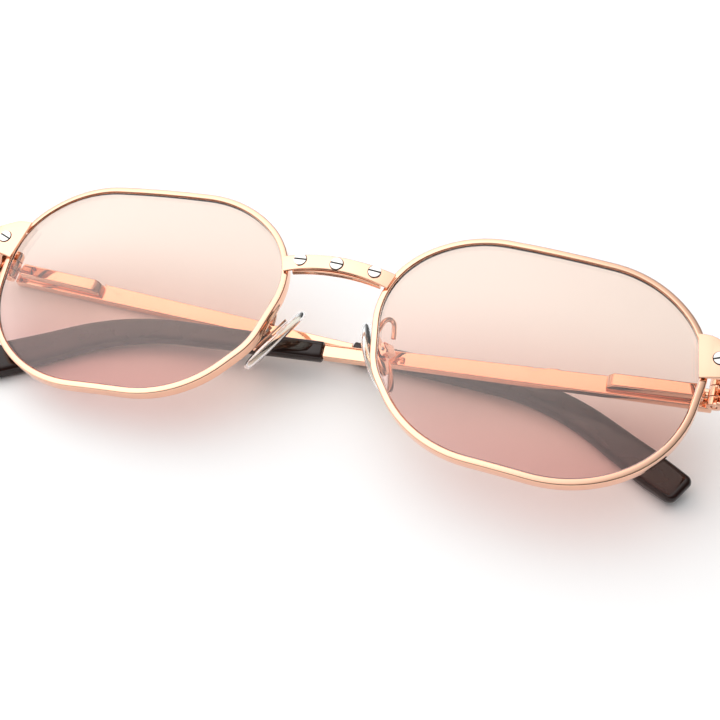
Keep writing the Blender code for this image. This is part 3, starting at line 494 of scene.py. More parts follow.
def corner_arc(corners, index, radius, steps):
    """Points of the arc that rounds one corner of an outline, with their outward normals."""
    corner = Vector(corners[index])
    to_last = (Vector(corners[index - 1]) - corner).normalized()
    to_next = (Vector(corners[(index + 1) % len(corners)]) - corner).normalized()
    half = to_last.angle(to_next) / 2.0
    centre = corner + (to_last + to_next).normalized() * radius / math.sin(half)
    start = corner + to_last * radius / math.tan(half) - centre
    end = corner + to_next * radius / math.tan(half) - centre
    first = math.atan2(start.y, start.x)
    turn = (math.atan2(end.y, end.x) - first + math.pi) % (2.0 * math.pi) - math.pi
    arc = []
    for step in range(steps + 1):
        angle = first + turn * step / steps
        normal = Vector((math.cos(angle), math.sin(angle)))
        arc.append((centre + normal * radius, normal))
    return arc


def round_corners(corners, radius, steps=SECTION_STEPS):
    """Points of a flat convex outline whose corners are rounded."""
    arcs = [corner_arc(corners, i, radius, steps) for i in range(len(corners))]
    return [point for arc in arcs for point, _ in arc]


def rounded_box(half_a, half_b, radius, steps=SECTION_STEPS):
    """A rounded oblong; its radius stays just under half of its shorter side."""
    corners = ((half_a, half_b), (-half_a, half_b), (-half_a, -half_b), (half_a, -half_b))
    most = FULLEST_ROUND * min(half_a, half_b)
    return round_corners(corners, min(radius, most), steps)


def cut(obj, cutter, operation="DIFFERENCE", material=None, painted_shade=None):
    """Applies an exact Boolean; a given painted-shade material is left on the faces that it cuts."""
    if painted_shade is not None:
        if not obj.data.materials:
            obj.data.materials.append(material)
        cutter.data.materials.append(painted_shade)
    pick(obj)
    modifier = obj.modifiers.new("cut", "BOOLEAN")
    modifier.material_mode = "TRANSFER"
    modifier.operation = operation
    modifier.solver = "EXACT"
    modifier.object = cutter
    bpy.ops.object.modifier_apply(modifier=modifier.name)
    bpy.data.objects.remove(cutter, do_unlink=True)


def finish_piece(obj, body, material, slot, *nodes):
    """Smooths a piece, gives it its finish and lets it stand for its CAD nodes."""
    pick(obj)
    bpy.ops.object.transform_apply(location=True, rotation=True, scale=True)
    bpy.ops.object.shade_smooth_by_angle(angle=SMOOTH_ANGLE)
    if len(obj.data.materials) < 2:
        obj.data.materials.clear()
        obj.data.materials.append(material)
    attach(obj, body)
    if nodes:
        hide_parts(*nodes)
    deselect_all()
    return obj


def cylinder_between(start, end, radius, sides=48):
    """A plain cutter cylinder between two points."""
    deselect_all()
    along = end - start
    bpy.ops.mesh.primitive_cylinder_add(vertices=sides, radius=radius, depth=along.length)
    obj = bpy.context.object
    turn = along.to_track_quat("Z", "Y").to_matrix().to_4x4()
    obj.data.transform(Matrix.Translation((start + end) / 2.0) @ turn)
    return obj


def softened_copy(node, body, width):
    """A gold piece in a node's own shape, with its edges rounded over."""
    deselect_all()
    mesh = ALL_NODES[node].data.copy()
    obj = bpy.data.objects.new(f"{node}_softened", mesh)
    bpy.context.scene.collection.objects.link(obj)
    pick(obj)
    bpy.ops.object.mode_set(mode="EDIT")
    bpy.ops.mesh.select_all(action="SELECT")
    bpy.ops.mesh.remove_doubles(threshold=MERGE_DISTANCE)
    bpy.ops.mesh.dissolve_limited(angle_limit=FLAT_ANGLE)
    bpy.ops.object.mode_set(mode="OBJECT")
    bevel = obj.modifiers.new("edges", "BEVEL")
    bevel.width = width
    bevel.segments = 2
    bevel.limit_method = "ANGLE"
    bevel.angle_limit = SOFTENED_ANGLE
    bevel.use_clamp_overlap = True
    bpy.ops.object.modifier_apply(modifier=bevel.name)
    finish_piece(obj, body, rose_gold(), "rose_gold", node)


# Material node groups -----------------------------------------------------------------------
def new_group(name, inputs, outputs):
    group = bpy.data.node_groups.new(name, "ShaderNodeTree")
    for socket, kind, default in inputs:
        made = group.interface.new_socket(socket, in_out="INPUT", socket_type=kind)
        made.default_value = default
    for socket, kind in outputs:
        group.interface.new_socket(socket, in_out="OUTPUT", socket_type=kind)
    start = group.nodes.new("NodeGroupInput")
    end = group.nodes.new("NodeGroupOutput")
    return group, start, end


def handling_group():
    """Roughness that varies with polishing and finger marks, and fine scratches as height."""
    if "Handling Marks" in bpy.data.node_groups:
        return bpy.data.node_groups["Handling Marks"]
    group, start, end = new_group(
        "Handling Marks",
        (
            ("Roughness", "NodeSocketFloat", 0.15),
            ("Amount", "NodeSocketFloat", 0.1),
            ("Smudge Scale", "NodeSocketFloat", 220.0),
            ("Scratch Scale", "NodeSocketFloat", 2600.0),
        ),
        (("Roughness", "NodeSocketFloat"), ("Height", "NodeSocketFloat")),
    )
    nodes, links = group.nodes, group.links
    place = nodes.new("ShaderNodeTexCoord")
    smudge = nodes.new("ShaderNodeTexNoise")
    smudge.inputs["Detail"].default_value = 3.0
    scratch = nodes.new("ShaderNodeTexNoise")
    scratch.inputs["Detail"].default_value = 2.0
    stretch = nodes.new("ShaderNodeMapping")
    stretch.inputs["Scale"].default_value = (0.12, 1.0, 1.0)
    stretch.inputs["Rotation"].default_value = (0.0, 0.0, 0.4)
    links.new(place.outputs["Object"], smudge.inputs["Vector"])
    links.new(place.outputs["Object"], stretch.inputs["Vector"])
    links.new(stretch.outputs["Vector"], scratch.inputs["Vector"])
    links.new(start.outputs["Smudge Scale"], smudge.inputs["Scale"])
    links.new(start.outputs["Scratch Scale"], scratch.inputs["Scale"])
    centred = nodes.new("ShaderNodeMath")
    centred.operation = "SUBTRACT"
    centred.inputs[1].default_value = 0.45
    links.new(smudge.outputs["Fac"], centred.inputs[0])
    scaled = nodes.new("ShaderNodeMath")
    scaled.operation = "MULTIPLY_ADD"
    scaled.use_clamp = True
    links.new(centred.outputs[0], scaled.inputs[0])
    links.new(start.outputs["Amount"], scaled.inputs[1])
    links.new(start.outputs["Roughness"], scaled.inputs[2])
    links.new(scaled.outputs[0], end.inputs["Roughness"])
    links.new(scratch.outputs["Fac"], end.inputs["Height"])
    return group


def tone_group():
    """A colour that drifts slightly towards a second one over the surface."""
    if "Tone Drift" in bpy.data.node_groups:
        return bpy.data.node_groups["Tone Drift"]
    group, start, end = new_group(
        "Tone Drift",
        (
            ("Colour", "NodeSocketColor", (0.8, 0.8, 0.8, 1.0)),
            ("Second Colour", "NodeSocketColor", (0.7, 0.7, 0.7, 1.0)),
            ("Scale", "NodeSocketFloat", 60.0),
            ("Amount", "NodeSocketFloat", 0.5),
        ),
        (("Colour", "NodeSocketColor"),),
    )
    nodes, links = group.nodes, group.links
    place = nodes.new("ShaderNodeTexCoord")
    noise = nodes.new("ShaderNodeTexNoise")
    noise.inputs["Detail"].default_value = 4.0
    share = nodes.new("ShaderNodeMath")
    share.operation = "MULTIPLY"
    mix = nodes.new("ShaderNodeMix")
    mix.data_type = "RGBA"
    links.new(place.outputs["Object"], noise.inputs["Vector"])
    links.new(start.outputs["Scale"], noise.inputs["Scale"])
    links.new(noise.outputs["Fac"], share.inputs[0])
    links.new(start.outputs["Amount"], share.inputs[1])
    links.new(share.outputs[0], mix.inputs["Factor"])
    links.new(start.outputs["Colour"], mix.inputs[6])
    links.new(start.outputs["Second Colour"], mix.inputs[7])
    links.new(mix.outputs[2], end.inputs["Colour"])
    return group


def add_group(material, group, **values):
    node = material.node_tree.nodes.new("ShaderNodeGroup")
    node.node_tree = group
    for socket, value in values.items():
        node.inputs[socket.replace("_", " ")].default_value = value
    return node


def new_material(name):
    """A new node material and its Principled shader."""
    material = bpy.data.materials.new(name)
    material.use_nodes = True
    return material, material.node_tree.nodes["Principled BSDF"]


def marked(material, shader, roughness, amount, bump, smudge=220.0, scratch=2600.0):
    """Drives roughness and a faint bump from the handling marks."""
    links = material.node_tree.links
    marks = add_group(
        material,
        handling_group(),
        Roughness=roughness,
        Amount=amount,
        Smudge_Scale=smudge,
        Scratch_Scale=scratch,
    )
    links.new(marks.outputs["Roughness"], shader.inputs["Roughness"])
    relief = material.node_tree.nodes.new("ShaderNodeBump")
    relief.inputs["Strength"].default_value = bump
    relief.inputs["Distance"].default_value = 0.01 * MM
    links.new(marks.outputs["Height"], relief.inputs["Height"])
    links.new(relief.outputs["Normal"], shader.inputs["Normal"])


def toned(material, shader, colour, second, scale, amount):
    tone = add_group(
        material,
        tone_group(),
        Colour=(*colour, 1.0),
        Second_Colour=(*second, 1.0),
        Scale=scale,
        Amount=amount,
    )
    material.node_tree.links.new(tone.outputs["Colour"], shader.inputs["Base Color"])


def darker(colour, share):
    return tuple(channel * share for channel in colour)


def rose_gold():
    if "Polished Rose Gold" in bpy.data.materials:
        return bpy.data.materials["Polished Rose Gold"]
    colour = tuple(bpy.context.scene.eyewear_colours.gold)
    material, shader = new_material("Polished Rose Gold")
    shader.inputs["Metallic"].default_value = 1.0
    warmer = (colour[0], colour[1] * 0.93, colour[2] * 0.88)
    toned(material, shader, colour, warmer, scale=90.0, amount=0.8)
    marked(material, shader, roughness=0.06, amount=0.10, bump=0.08)
    return material


def painted_shade_gold():
    """The unpolished seats and bores, painted near-black as the shade that falls in them."""
    if "Painted Shade Gold" in bpy.data.materials:
        return bpy.data.materials["Painted Shade Gold"]
    colour = tuple(bpy.context.scene.eyewear_colours.gold)
    material, shader = new_material("Painted Shade Gold")
    shader.inputs["Metallic"].default_value = 1.0
    # Near-black gold with a slight drift: painted shade in the seats and bores.
    toned(material, shader, darker(colour, 0.16), darker(colour, 0.08), scale=900.0, amount=0.9)
    marked(material, shader, roughness=0.4, amount=0.2, bump=0.3, smudge=900.0, scratch=9000.0)
    return material


def painted_shade_steel():
    """The sawn slot of a screw, painted near-black as the shade that falls in it."""
    if "Painted Shade Steel" in bpy.data.materials:
        return bpy.data.materials["Painted Shade Steel"]
    colour = tuple(bpy.context.scene.eyewear_colours.steel)
    material, shader = new_material("Painted Shade Steel")
    shader.inputs["Metallic"].default_value = 1.0
    # Near-black steel with a slight drift: painted shade in the slot.
    toned(material, shader, darker(colour, 0.09), darker(colour, 0.05), scale=1500.0, amount=0.9)
    marked(material, shader, roughness=0.4, amount=0.2, bump=0.3, smudge=1500.0, scratch=9000.0)
    return material


def screw_steel():
    if "Screw Steel" in bpy.data.materials:
        return bpy.data.materials["Screw Steel"]
    colour = tuple(bpy.context.scene.eyewear_colours.steel)
    material, shader = new_material("Screw Steel")
    shader.inputs["Metallic"].default_value = 1.0
    toned(material, shader, colour, darker(colour, 0.75), scale=900.0, amount=0.8)
    marked(material, shader, roughness=0.2, amount=0.2, bump=0.3, smudge=900.0, scratch=9000.0)
    return material


def spring_wire():
    if "Spring Wire" in bpy.data.materials:
        return bpy.data.materials["Spring Wire"]
    material, shader = new_material("Spring Wire")
    shader.inputs["Metallic"].default_value = 1.0
    toned(material, shader, (0.5, 0.5, 0.52), (0.32, 0.3, 0.3), scale=1500.0, amount=0.9)
    marked(material, shader, roughness=0.3, amount=0.2, bump=0.3, smudge=1200.0, scratch=12000.0)
    return material


def dark_acetate():
    if "Dark Acetate" in bpy.data.materials:
        return bpy.data.materials["Dark Acetate"]
    colour = tuple(bpy.context.scene.eyewear_colours.tip)
    material, shader = new_material("Dark Acetate")
    shader.inputs["IOR"].default_value = 1.42
    toned(material, shader, colour, (0.035, 0.012, 0.008), scale=120.0, amount=0.6)
    marked(material, shader, roughness=0.05, amount=0.10, bump=0.06, smudge=160.0, scratch=1800.0)
    return material


def lens_shade(material):
    """The tint: it deepens from the top of the lens to the bottom."""
    colours = bpy.context.scene.eyewear_colours
    nodes, links = material.node_tree.nodes, material.node_tree.links
    place = nodes.new("ShaderNodeTexCoord")
    height = nodes.new("ShaderNodeVectorMath")
    height.operation = "DOT_PRODUCT"
    height.inputs[1].default_value = FRONT.col[1].to_3d()
    links.new(place.outputs["Object"], height.inputs[0])
    origin = FRONT.translation.dot(FRONT.col[1].to_3d())
    span = nodes.new("ShaderNodeMapRange")
    span.interpolation_type = "SMOOTHSTEP"
    span.inputs["From Min"].default_value = origin + TINT_LEVELS[0]
    span.inputs["From Max"].default_value = origin + TINT_LEVELS[1]
    links.new(height.outputs["Value"], span.inputs["Value"])
    mix = nodes.new("ShaderNodeMix")
    mix.data_type = "RGBA"
    mix.inputs[6].default_value = (*colours.lens_bottom, 1.0)
    mix.inputs[7].default_value = (*colours.lens_top, 1.0)
    links.new(span.outputs["Result"], mix.inputs["Factor"])
    return mix.outputs[2]


def clear_for_lamps(material, shader, colour_socket=None, colour=None):
    """Lets lamp light through glass, tinted, so that it doesn't shade what is behind."""
    nodes, links = material.node_tree.nodes, material.node_tree.links
    path = nodes.new("ShaderNodeLightPath")
    clear = nodes.new("ShaderNodeBsdfTransparent")
    if colour_socket is not None:
        each_face = nodes.new("ShaderNodeGamma")
        each_face.inputs["Gamma"].default_value = 0.5
        links.new(colour_socket, each_face.inputs["Color"])
        links.new(each_face.outputs["Color"], clear.inputs["Color"])
    else:
        clear.inputs["Color"].default_value = (*colour, 1.0)
    choice = nodes.new("ShaderNodeMixShader")
    links.new(path.outputs["Is Shadow Ray"], choice.inputs["Fac"])
    links.new(shader.outputs["BSDF"], choice.inputs[1])
    links.new(clear.outputs["BSDF"], choice.inputs[2])
    links.new(choice.outputs["Shader"], nodes["Material Output"].inputs["Surface"])


def lens_tint():
    if "Gradient Lens" in bpy.data.materials:
        return bpy.data.materials["Gradient Lens"]
    material, shader = new_material("Gradient Lens")
    shader.inputs["Transmission Weight"].default_value = 1.0
    shader.inputs["Roughness"].default_value = 0.0
    shader.inputs["IOR"].default_value = 1.56
    shade = lens_shade(material)
    material.node_tree.links.new(shade, shader.inputs["Base Color"])
    clear_for_lamps(material, shader, colour_socket=shade)
    return material


def clear_silicone():
    if "Clear Silicone" in bpy.data.materials:
        return bpy.data.materials["Clear Silicone"]
    colour = tuple(bpy.context.scene.eyewear_colours.pad)
    material, shader = new_material("Clear Silicone")
    shader.inputs["Transmission Weight"].default_value = 1.0
    shader.inputs["IOR"].default_value = 1.42
    toned(material, shader, colour, darker(colour, 0.93), scale=400.0, amount=0.6)
    marked(material, shader, roughness=0.1, amount=0.10, bump=0.1, smudge=500.0, scratch=3000.0)
    clear_for_lamps(material, shader, colour=darker(colour, 0.95))
    return material


# Lens outline and rims -----------------------------------------------------------------------
def face_depth(x, y):
    """Depth of the rims' front face at a place on the face."""
    across = abs(x) - LENS_CENTRE_X
    dome = (across * across + y * y) / (2.0 * FACE_RADIUS)
    return -dome - math.tan(FACE_WRAP) * across


def lens_outline():
    """Points of the lens opening with their outward normals, from the rim's slit."""
    points = []
    corners = [Vector(corner[:2]) * MM for corner in LENS_CORNERS]
    radii = [corner[2] * MM for corner in LENS_CORNERS]
    arcs = [corner_arc(corners, i, radius, CORNER_STEPS) for i, radius in enumerate(radii)]
    for i, arc in enumerate(arcs):
        points += arc
        end, normal = arc[-1]
        start = arcs[(i + 1) % len(arcs)][0][0]
        for step in range(1, STRAIGHT_STEPS):
            points.append((end.lerp(start, step / STRAIGHT_STEPS), normal))
    middle = CORNER_STEPS // 2
    return points[middle:] + points[:middle]


def face_point(point, normal, side, offset, depth):
    """A point offset outwards from the lens opening and sunk behind the front face."""
    flat = point + normal * offset
    x = side * (LENS_CENTRE_X + flat.x)
    return FRONT @ Vector((x, flat.y, face_depth(x, flat.y) - depth))


def rim_section(edge):
    """Outward offset and depth round the rim: rounded outside, with the lens groove inside."""
    outside = round_corners(
        ((0.0, 0.0), (RIM_WIDTH, 0.0), (RIM_WIDTH, RIM_DEPTH), (0.0, RIM_DEPTH)), edge
    )
    middle = RIM_DEPTH / 2.0
    groove = [
        Vector((0.0, middle + GROOVE_HALF)),
        Vector((GROOVE_DEPTH, middle)),
        Vector((0.0, middle - GROOVE_HALF)),
    ]
    return outside + groove


def build_rim(name, side):
    """An eyewire, split where the lock closes it."""
    edge = bpy.context.scene.eyewear_sizes.rim_edge
    outline = lens_outline()
    first_point, first_normal = outline[0]
    tangent = Vector((first_normal.y, -first_normal.x)) * RIM_SLIT / 2.0
    if (outline[1][0] - first_point).dot(tangent) > 0.0:
        tangent = -tangent
    path = [(first_point - tangent, first_normal)] + outline[1:]
    path.append((first_point + tangent, first_normal))
    rings = [[face_point(p, n, side, *s) for s in rim_section(edge)] for p, n in path]
    rim = skin(f"{name}_rim_polished", rings)
    finish_piece(rim, "front", rose_gold(), "rose_gold", f"{name}_rim")


def build_lens(name, side):
    """A domed lens whose bevelled edge stands in the rim's groove."""
    outline = lens_outline()
    middle = RIM_DEPTH / 2.0
    front = middle - LENS_THICKNESS / 2.0
    back = middle + LENS_THICKNESS / 2.0

    def ring(share, offset, depth):
        points = [(p * share, n) for p, n in outline]
        return [face_point(p, n, side, offset, depth) for p, n in points]

    whole = LENS_RINGS + LENS_POLE_SHARE
    shares = [(i + LENS_POLE_SHARE) / whole for i in range(LENS_RINGS)]
    rings = [ring(share, 0.0, front) for share in shares]
    rings += [
        ring(1.0, -LENS_GAP - LENS_EDGE_BREAK, front),
        ring(1.0, -LENS_GAP, front + LENS_EDGE_BREAK),
        ring(1.0, LENS_BEVEL, middle),
        ring(1.0, -LENS_GAP, back - LENS_EDGE_BREAK),
        ring(1.0, -LENS_GAP - LENS_EDGE_BREAK, back),
    ]
    rings += [ring(share, 0.0, back) for share in reversed(shares)]
    lens = skin(f"{name}_lens_tinted", rings, ends="merge")
    finish_piece(lens, "front", lens_tint(), "lens_tint", f"{name}_lens")


# Bridge ---------------------------------------------------------------------------------------
def bridge_sag(x):
    """How far the bridge drops towards its ends, as a share from 0 to 1."""
    return (x / BRIDGE_HALF_TOP) ** 2


def build_bridge_plate():
    edge = bpy.context.scene.eyewear_sizes.plate_edge
    rings = []
    for i in range(BRIDGE_STEPS + 1):
        share = 2.0 * i / BRIDGE_STEPS - 1.0
        top_x = share * BRIDGE_HALF_TOP
        bottom_x = share * BRIDGE_HALF_BOTTOM
        drop = BRIDGE_END_DROP * bridge_sag(top_x)
        top = BRIDGE_TOP_Y - drop
        bottom = BRIDGE_BOTTOM_Y - BRIDGE_BOTTOM_DROP_SHARE * drop
        front_z = -BRIDGE_END_BACK * bridge_sag(top_x)
        thinning = (BRIDGE_PLATE_THICKNESS - BRIDGE_PLATE_END) * bridge_sag(top_x)
        back_z = front_z - BRIDGE_PLATE_THICKNESS + thinning
        half_y, half_z = (top - bottom) / 2.0, (front_z - back_z) / 2.0
        ring = []
        for a, b in rounded_box(half_y, half_z, edge):
            height = 0.5 + a / (2.0 * half_y)
            x = bottom_x + (top_x - bottom_x) * height
            ring.append((x, (top + bottom) / 2.0 + a, (front_z + back_z) / 2.0 + b))
        rings.append(laid(FRONT, ring))
    plate = skin("bridge_plate_polished", rings)
    for x in bridge_screw_places():
        seat = Vector((x, BRIDGE_SCREW_Y, -BRIDGE_END_BACK * bridge_sag(x)))
        drill_seat(plate, FRONT, seat, Vector((0.0, 0.0, 1.0)))
    finish_piece(plate, "front", rose_gold(), "rose_gold", "bridge_plate")


def bridge_screw_places():
    return (-BRIDGE_SCREW_PITCH, 0.0, BRIDGE_SCREW_PITCH)


def drill_seat(plate, place, seat, axis):
    """A shallow round seat for a screw head and the clearance hole through it."""
    top = place @ (seat + axis * MM)
    # The seat's and the hole's cut faces take near-black gold: painted shade.
    finish = {"material": rose_gold(), "painted_shade": painted_shade_gold()}
    floor = place @ (seat - axis * SEAT_DEPTH)
    cut(plate, cylinder_between(floor, top, SEAT_RADIUS), **finish)
    hole_end = place @ (seat - axis * HOLE_REACH)
    cut(plate, cylinder_between(hole_end, top, SHANK_RADIUS * HOLE_SHARE), **finish)


def build_bridge_bar():
    """The structural bar behind the plate; it runs from rim to rim."""
    edge = bpy.context.scene.eyewear_sizes.bar_edge
    half = BRIDGE_BAR_HEIGHT / 2.0
    depth = BRIDGE_BAR_THICKNESS / 2.0
    rings = []
    for i in range(BRIDGE_STEPS + 1):
        x = (2.0 * i / BRIDGE_STEPS - 1.0) * BRIDGE_BAR_HALF
        middle = BRIDGE_SCREW_Y - BRIDGE_END_DROP * bridge_sag(x) - BRIDGE_BAR_DROP
        front_z = -BRIDGE_END_BACK * bridge_sag(x) - BRIDGE_PLATE_THICKNESS - STACK_GAP
        section = rounded_box(half, depth, edge)
        ring = [(x, middle + a, front_z - depth + b) for a, b in section]
        rings.append(laid(FRONT, ring))
    bar = skin("bridge_bar_polished", rings)
    finish_piece(bar, "front", rose_gold(), "rose_gold", "bridge_bar")


# Screws ---------------------------------------------------------------------------------------
def build_screw(node, place, seat, axis, length, slot_turn, scale=1.0, plated=False):
    """A slotted screw: a turned head with a rounded edge, its shank and a sawn slot."""
    radius = HEAD_RADIUS * scale
    height = HEAD_HEIGHT * scale
    material, slot = (rose_gold(), "rose_gold") if plated else (screw_steel(), "steel")
    deselect_all()
    bpy.ops.mesh.primitive_cylinder_add(
        vertices=HEAD_SIDES, radius=radius, depth=height, location=(0.0, 0.0, height / 2.0)
    )
    screw = bpy.context.object
    bpy.ops.object.transform_apply(location=True, rotation=False, scale=False)
    bpy.ops.object.mode_set(mode="EDIT")
    select_cap(screw, upper=True)
    for inward, rise in HEAD_CROWN:
        bpy.ops.mesh.inset(thickness=radius * inward, depth=height * rise)
    select_cap(screw, upper=False)
    bpy.ops.mesh.inset(thickness=radius - SHANK_RADIUS * scale, depth=0.0)
    bpy.ops.mesh.extrude_region_move(TRANSFORM_OT_translate={"value": (0.0, 0.0, -length)})
    inward, onward = (SHANK_RADIUS * scale * share for share in SHANK_POINT)
    bpy.ops.mesh.inset(thickness=inward, depth=onward)
    bpy.ops.object.mode_set(mode="OBJECT")
    deselect_all()
    bpy.ops.mesh.primitive_cube_add(size=1.0)
    saw = bpy.context.object
    size = (radius * SAW_LENGTH_SHARE, SLOT_WIDTH * scale, 2.0 * SLOT_DEPTH * scale)
    turn = Matrix.Rotation(slot_turn, 4, "Z")
    top = Matrix.Translation((0.0, 0.0, height * SAW_LEVEL_SHARE))
    saw.data.transform(top @ turn @ Matrix.Diagonal((*size, 1.0)))
    # The slot's cut faces take near-black steel: painted shade.
    cut(screw, saw, material=material, painted_shade=painted_shade_steel())
    bevel = screw.modifiers.new("edges", "BEVEL")
    bevel.width = HEAD_BREAK * scale
    bevel.segments = 2
    bevel.limit_method = "ANGLE"
    bevel.angle_limit = HEAD_BREAK_ANGLE
    pick(screw)
    bpy.ops.object.modifier_apply(modifier=bevel.name)
    screw.name = f"{node}_turned"
    stand = screw_stand(place, seat, axis)
    screw.data.transform(stand)
    finish_piece(screw, "front", material, slot, node)


def select_cap(obj, upper):
    """Selects the flat face at the top or the bottom of a turned piece."""
    bpy.ops.mesh.select_all(action="DESELECT")
    bpy.ops.mesh.select_mode(type="FACE")
    bm = bmesh.from_edit_mesh(obj.data)
    level = max if upper else min
    found = level(bm.faces, key=lambda f: (f.calc_center_median().z, len(f.verts)))
    found.select = True
    bm.select_flush_mode()
    bmesh.update_edit_mesh(obj.data)


def screw_stand(place, seat, axis):
    """Where a screw stands: its seat, with its axis along +Z and +X kept across the face."""
    axis = Vector(axis).normalized()
    across = Vector((1.0, 0.0, 0.0)) if abs(axis.x) < 0.9 else Vector((0.0, 1.0, 0.0))
    across = (across - axis * across.dot(axis)).normalized()
    local = Matrix((across, axis.cross(across), axis)).transposed().to_4x4()
    local.translation = Vector(seat)
    return place @ local


def build_bridge_screws():
    out = Vector((0.0, 0.0, 1.0))
    for label, x in zip(BRIDGE_SCREW_TURNS, bridge_screw_places()):
        front_z = -BRIDGE_END_BACK * bridge_sag(x)
        seat = Vector((x, BRIDGE_SCREW_Y, front_z - SEAT_DEPTH + SEAT_CLEARANCE))
        turn = BRIDGE_SCREW_TURNS[label]
        build_screw(f"bridge_screw_{label}", FRONT, seat, out, BRIDGE_SCREW_LENGTH, turn)


def build_side_screws(name, side):
    """The endpiece, hinge, lock and pad screws of one side."""
    out = Vector((0.0, 0.0, 1.0))
    up = Vector((0.0, 1.0, 0.0))
    along = Vector((1.0, 0.0, 0.0))
    sink = Vector((0.0, 0.0, SEAT_CLEARANCE - SEAT_DEPTH))
    seat = Vector((side * ENDPIECE_SCREW.x, ENDPIECE_SCREW.y, ENDPIECE_SCREW.z)) + sink
    node = f"{name}_endpiece_screw"
    build_screw(node, FRONT, seat, out, ENDPIECE_SCREW_LENGTH, side * ENDPIECE_SCREW_TURN)
    seat = Vector((side * HINGE.x, BARREL_TOP_Y + UPRIGHT_HEAD_GAP, HINGE.z))
    node = f"{name}_hinge_screw"
    build_screw(node, FRONT, seat, up, BARREL_SPAN, HINGE_SCREW_TURN, HINGE_SCREW_SCALE, plated=True)
    seat = Vector((side * LOCK_X, LOCK_UPPER_Y[1] + UPRIGHT_HEAD_GAP, LOCK_SCREW_Z))
    node = f"{name}_lock_screw"
    build_screw(node, FRONT, seat, up, LOCK_SCREW_LENGTH, LOCK_SCREW_TURN, LOCK_SCREW_SCALE)
    level = PAD_BOX_LEVEL - PAD_BOX_SIZE.z / 2.0 + PAD_SCREW_RISE
    seat = Vector((PAD_BOX_SIZE.x / 2.0 + UPRIGHT_HEAD_GAP, 0.0, level))
    node = f"{name}_pad_screw"
    build_screw(node, pad_frame(side), seat, along, PAD_SCREW_LENGTH, PAD_SCREW_TURN, PAD_SCREW_SCALE)


# Endpieces and hinges --------------------------------------------------------------------------
def smooth_between(values, share):
    """A smooth curve through four values, at a share of the way from the second to the third."""
    a, b, c, d = values
    bend = (c - a) * share
    bend += (2.0 * a - 5.0 * b + 4.0 * c - d) * share * share
    bend += (3.0 * b - a - 3.0 * c + d) * share**3
    return b + bend / 2.0


def flat_station(station):
    return [*station[0], *station[1:]]


def endpiece_rows():
    """The stations, with smooth ones set between them."""
    rows = [flat_station(station) for station in ENDPIECE_STATIONS]
    padded = [rows[0], *rows, rows[-1]]
    made = []
    for i in range(1, len(padded) - 2):
        for step in range(ENDPIECE_STEPS):
            share = step / ENDPIECE_STEPS
            around = zip(*padded[i - 1 : i + 3])
            made.append([smooth_between(values, share) for values in around])
    made.append(rows[-1])
    return made


def endpiece_ring(side, row, edge):
    """A section of the endpiece: rounded edges between its outer and its inner face."""
    xs, (low_y, high_y, depth, thickness, turn) = row[:4], row[4:]
    inward = Vector((-math.sin(turn), 0.0, -math.cos(turn)))
    half_y = (high_y - low_y) / 2.0
    ring = []
    for a, b in rounded_box(half_y, thickness / 2.0, edge / MM):
        level = (a / half_y + 1.0) * 1.5
        start = min(int(level), 2)
        x = xs[start] + (xs[start + 1] - xs[start]) * (level - start)
        point = Vector((x, (low_y + high_y) / 2.0 + a, depth)) + inward * (thickness / 2.0 - b)
        ring.append(Vector((side * point.x, point.y, point.z)) * MM)
    return laid(FRONT, ring)


def build_endpiece(name, side):
    """The plate over the rim's corner, folded back along the temple, with its lock block."""
    edge = bpy.context.scene.eyewear_sizes.plate_edge
    plate = skin(
        f"{name}_endpiece_polished", [endpiece_ring(side, row, edge) for row in endpiece_rows()]
    )
    plate.data.materials.append(rose_gold())
    seat = Vector((side * ENDPIECE_SCREW.x, ENDPIECE_SCREW.y, ENDPIECE_SCREW.z))
    deselect_all()
    bpy.ops.mesh.primitive_cube_add(size=1.0)
    block = bpy.context.object
    block.data.materials.append(rose_gold())
    middle = Vector((side * LOCK_X, sum(LOCK_UPPER_Y) / 2.0, sum(LOCK_Z) / 2.0))
    size = (2.0 * LOCK_HALF_WIDTH, LOCK_UPPER_Y[1] - LOCK_UPPER_Y[0], LOCK_Z[1] - LOCK_Z[0])
    bpy.ops.object.mode_set(mode="EDIT")
    bpy.ops.mesh.select_all(action="SELECT")
    bpy.ops.transform.resize(value=size)
    bpy.ops.mesh.bevel(offset=LOCK_EDGE, segments=3, affect="EDGES")
    bpy.ops.object.mode_set(mode="OBJECT")
    block.data.transform(FRONT @ Matrix.Translation(middle))
    cut(plate, block, "UNION")
    drill_seat(plate, FRONT, seat, Vector((0.0, 0.0, 1.0)))
    finish_piece(plate, "front", rose_gold(), "rose_gold", f"{name}_endpiece")


def build_hinge(name):
    """The knuckles, the rim lock and what turns on the hinge, with rounded edges."""
    softened_copy(f"{name}_rim_lock", "front", LOCK_SOFTENING)
    softened_copy(f"{name}_hinge_front", "front", KNUCKLE_SOFTENING)
    softened_copy(f"{name}_hinge_slider", f"{name}_slider", SLIDER_SOFTENING)
    for node, material in (
        (f"{name}_spring_stop", screw_steel()),
        (f"{name}_spring_nut", screw_steel()),
        (f"{name}_flex_spring", spring_wire()),
    ):
        refinish_node(node, material)


def refinish_node(node, material):
    obj = ALL_NODES[node]
    if not obj.material_slots:
        obj.data.materials.append(material)
    for held in obj.material_slots:
        held.material = material


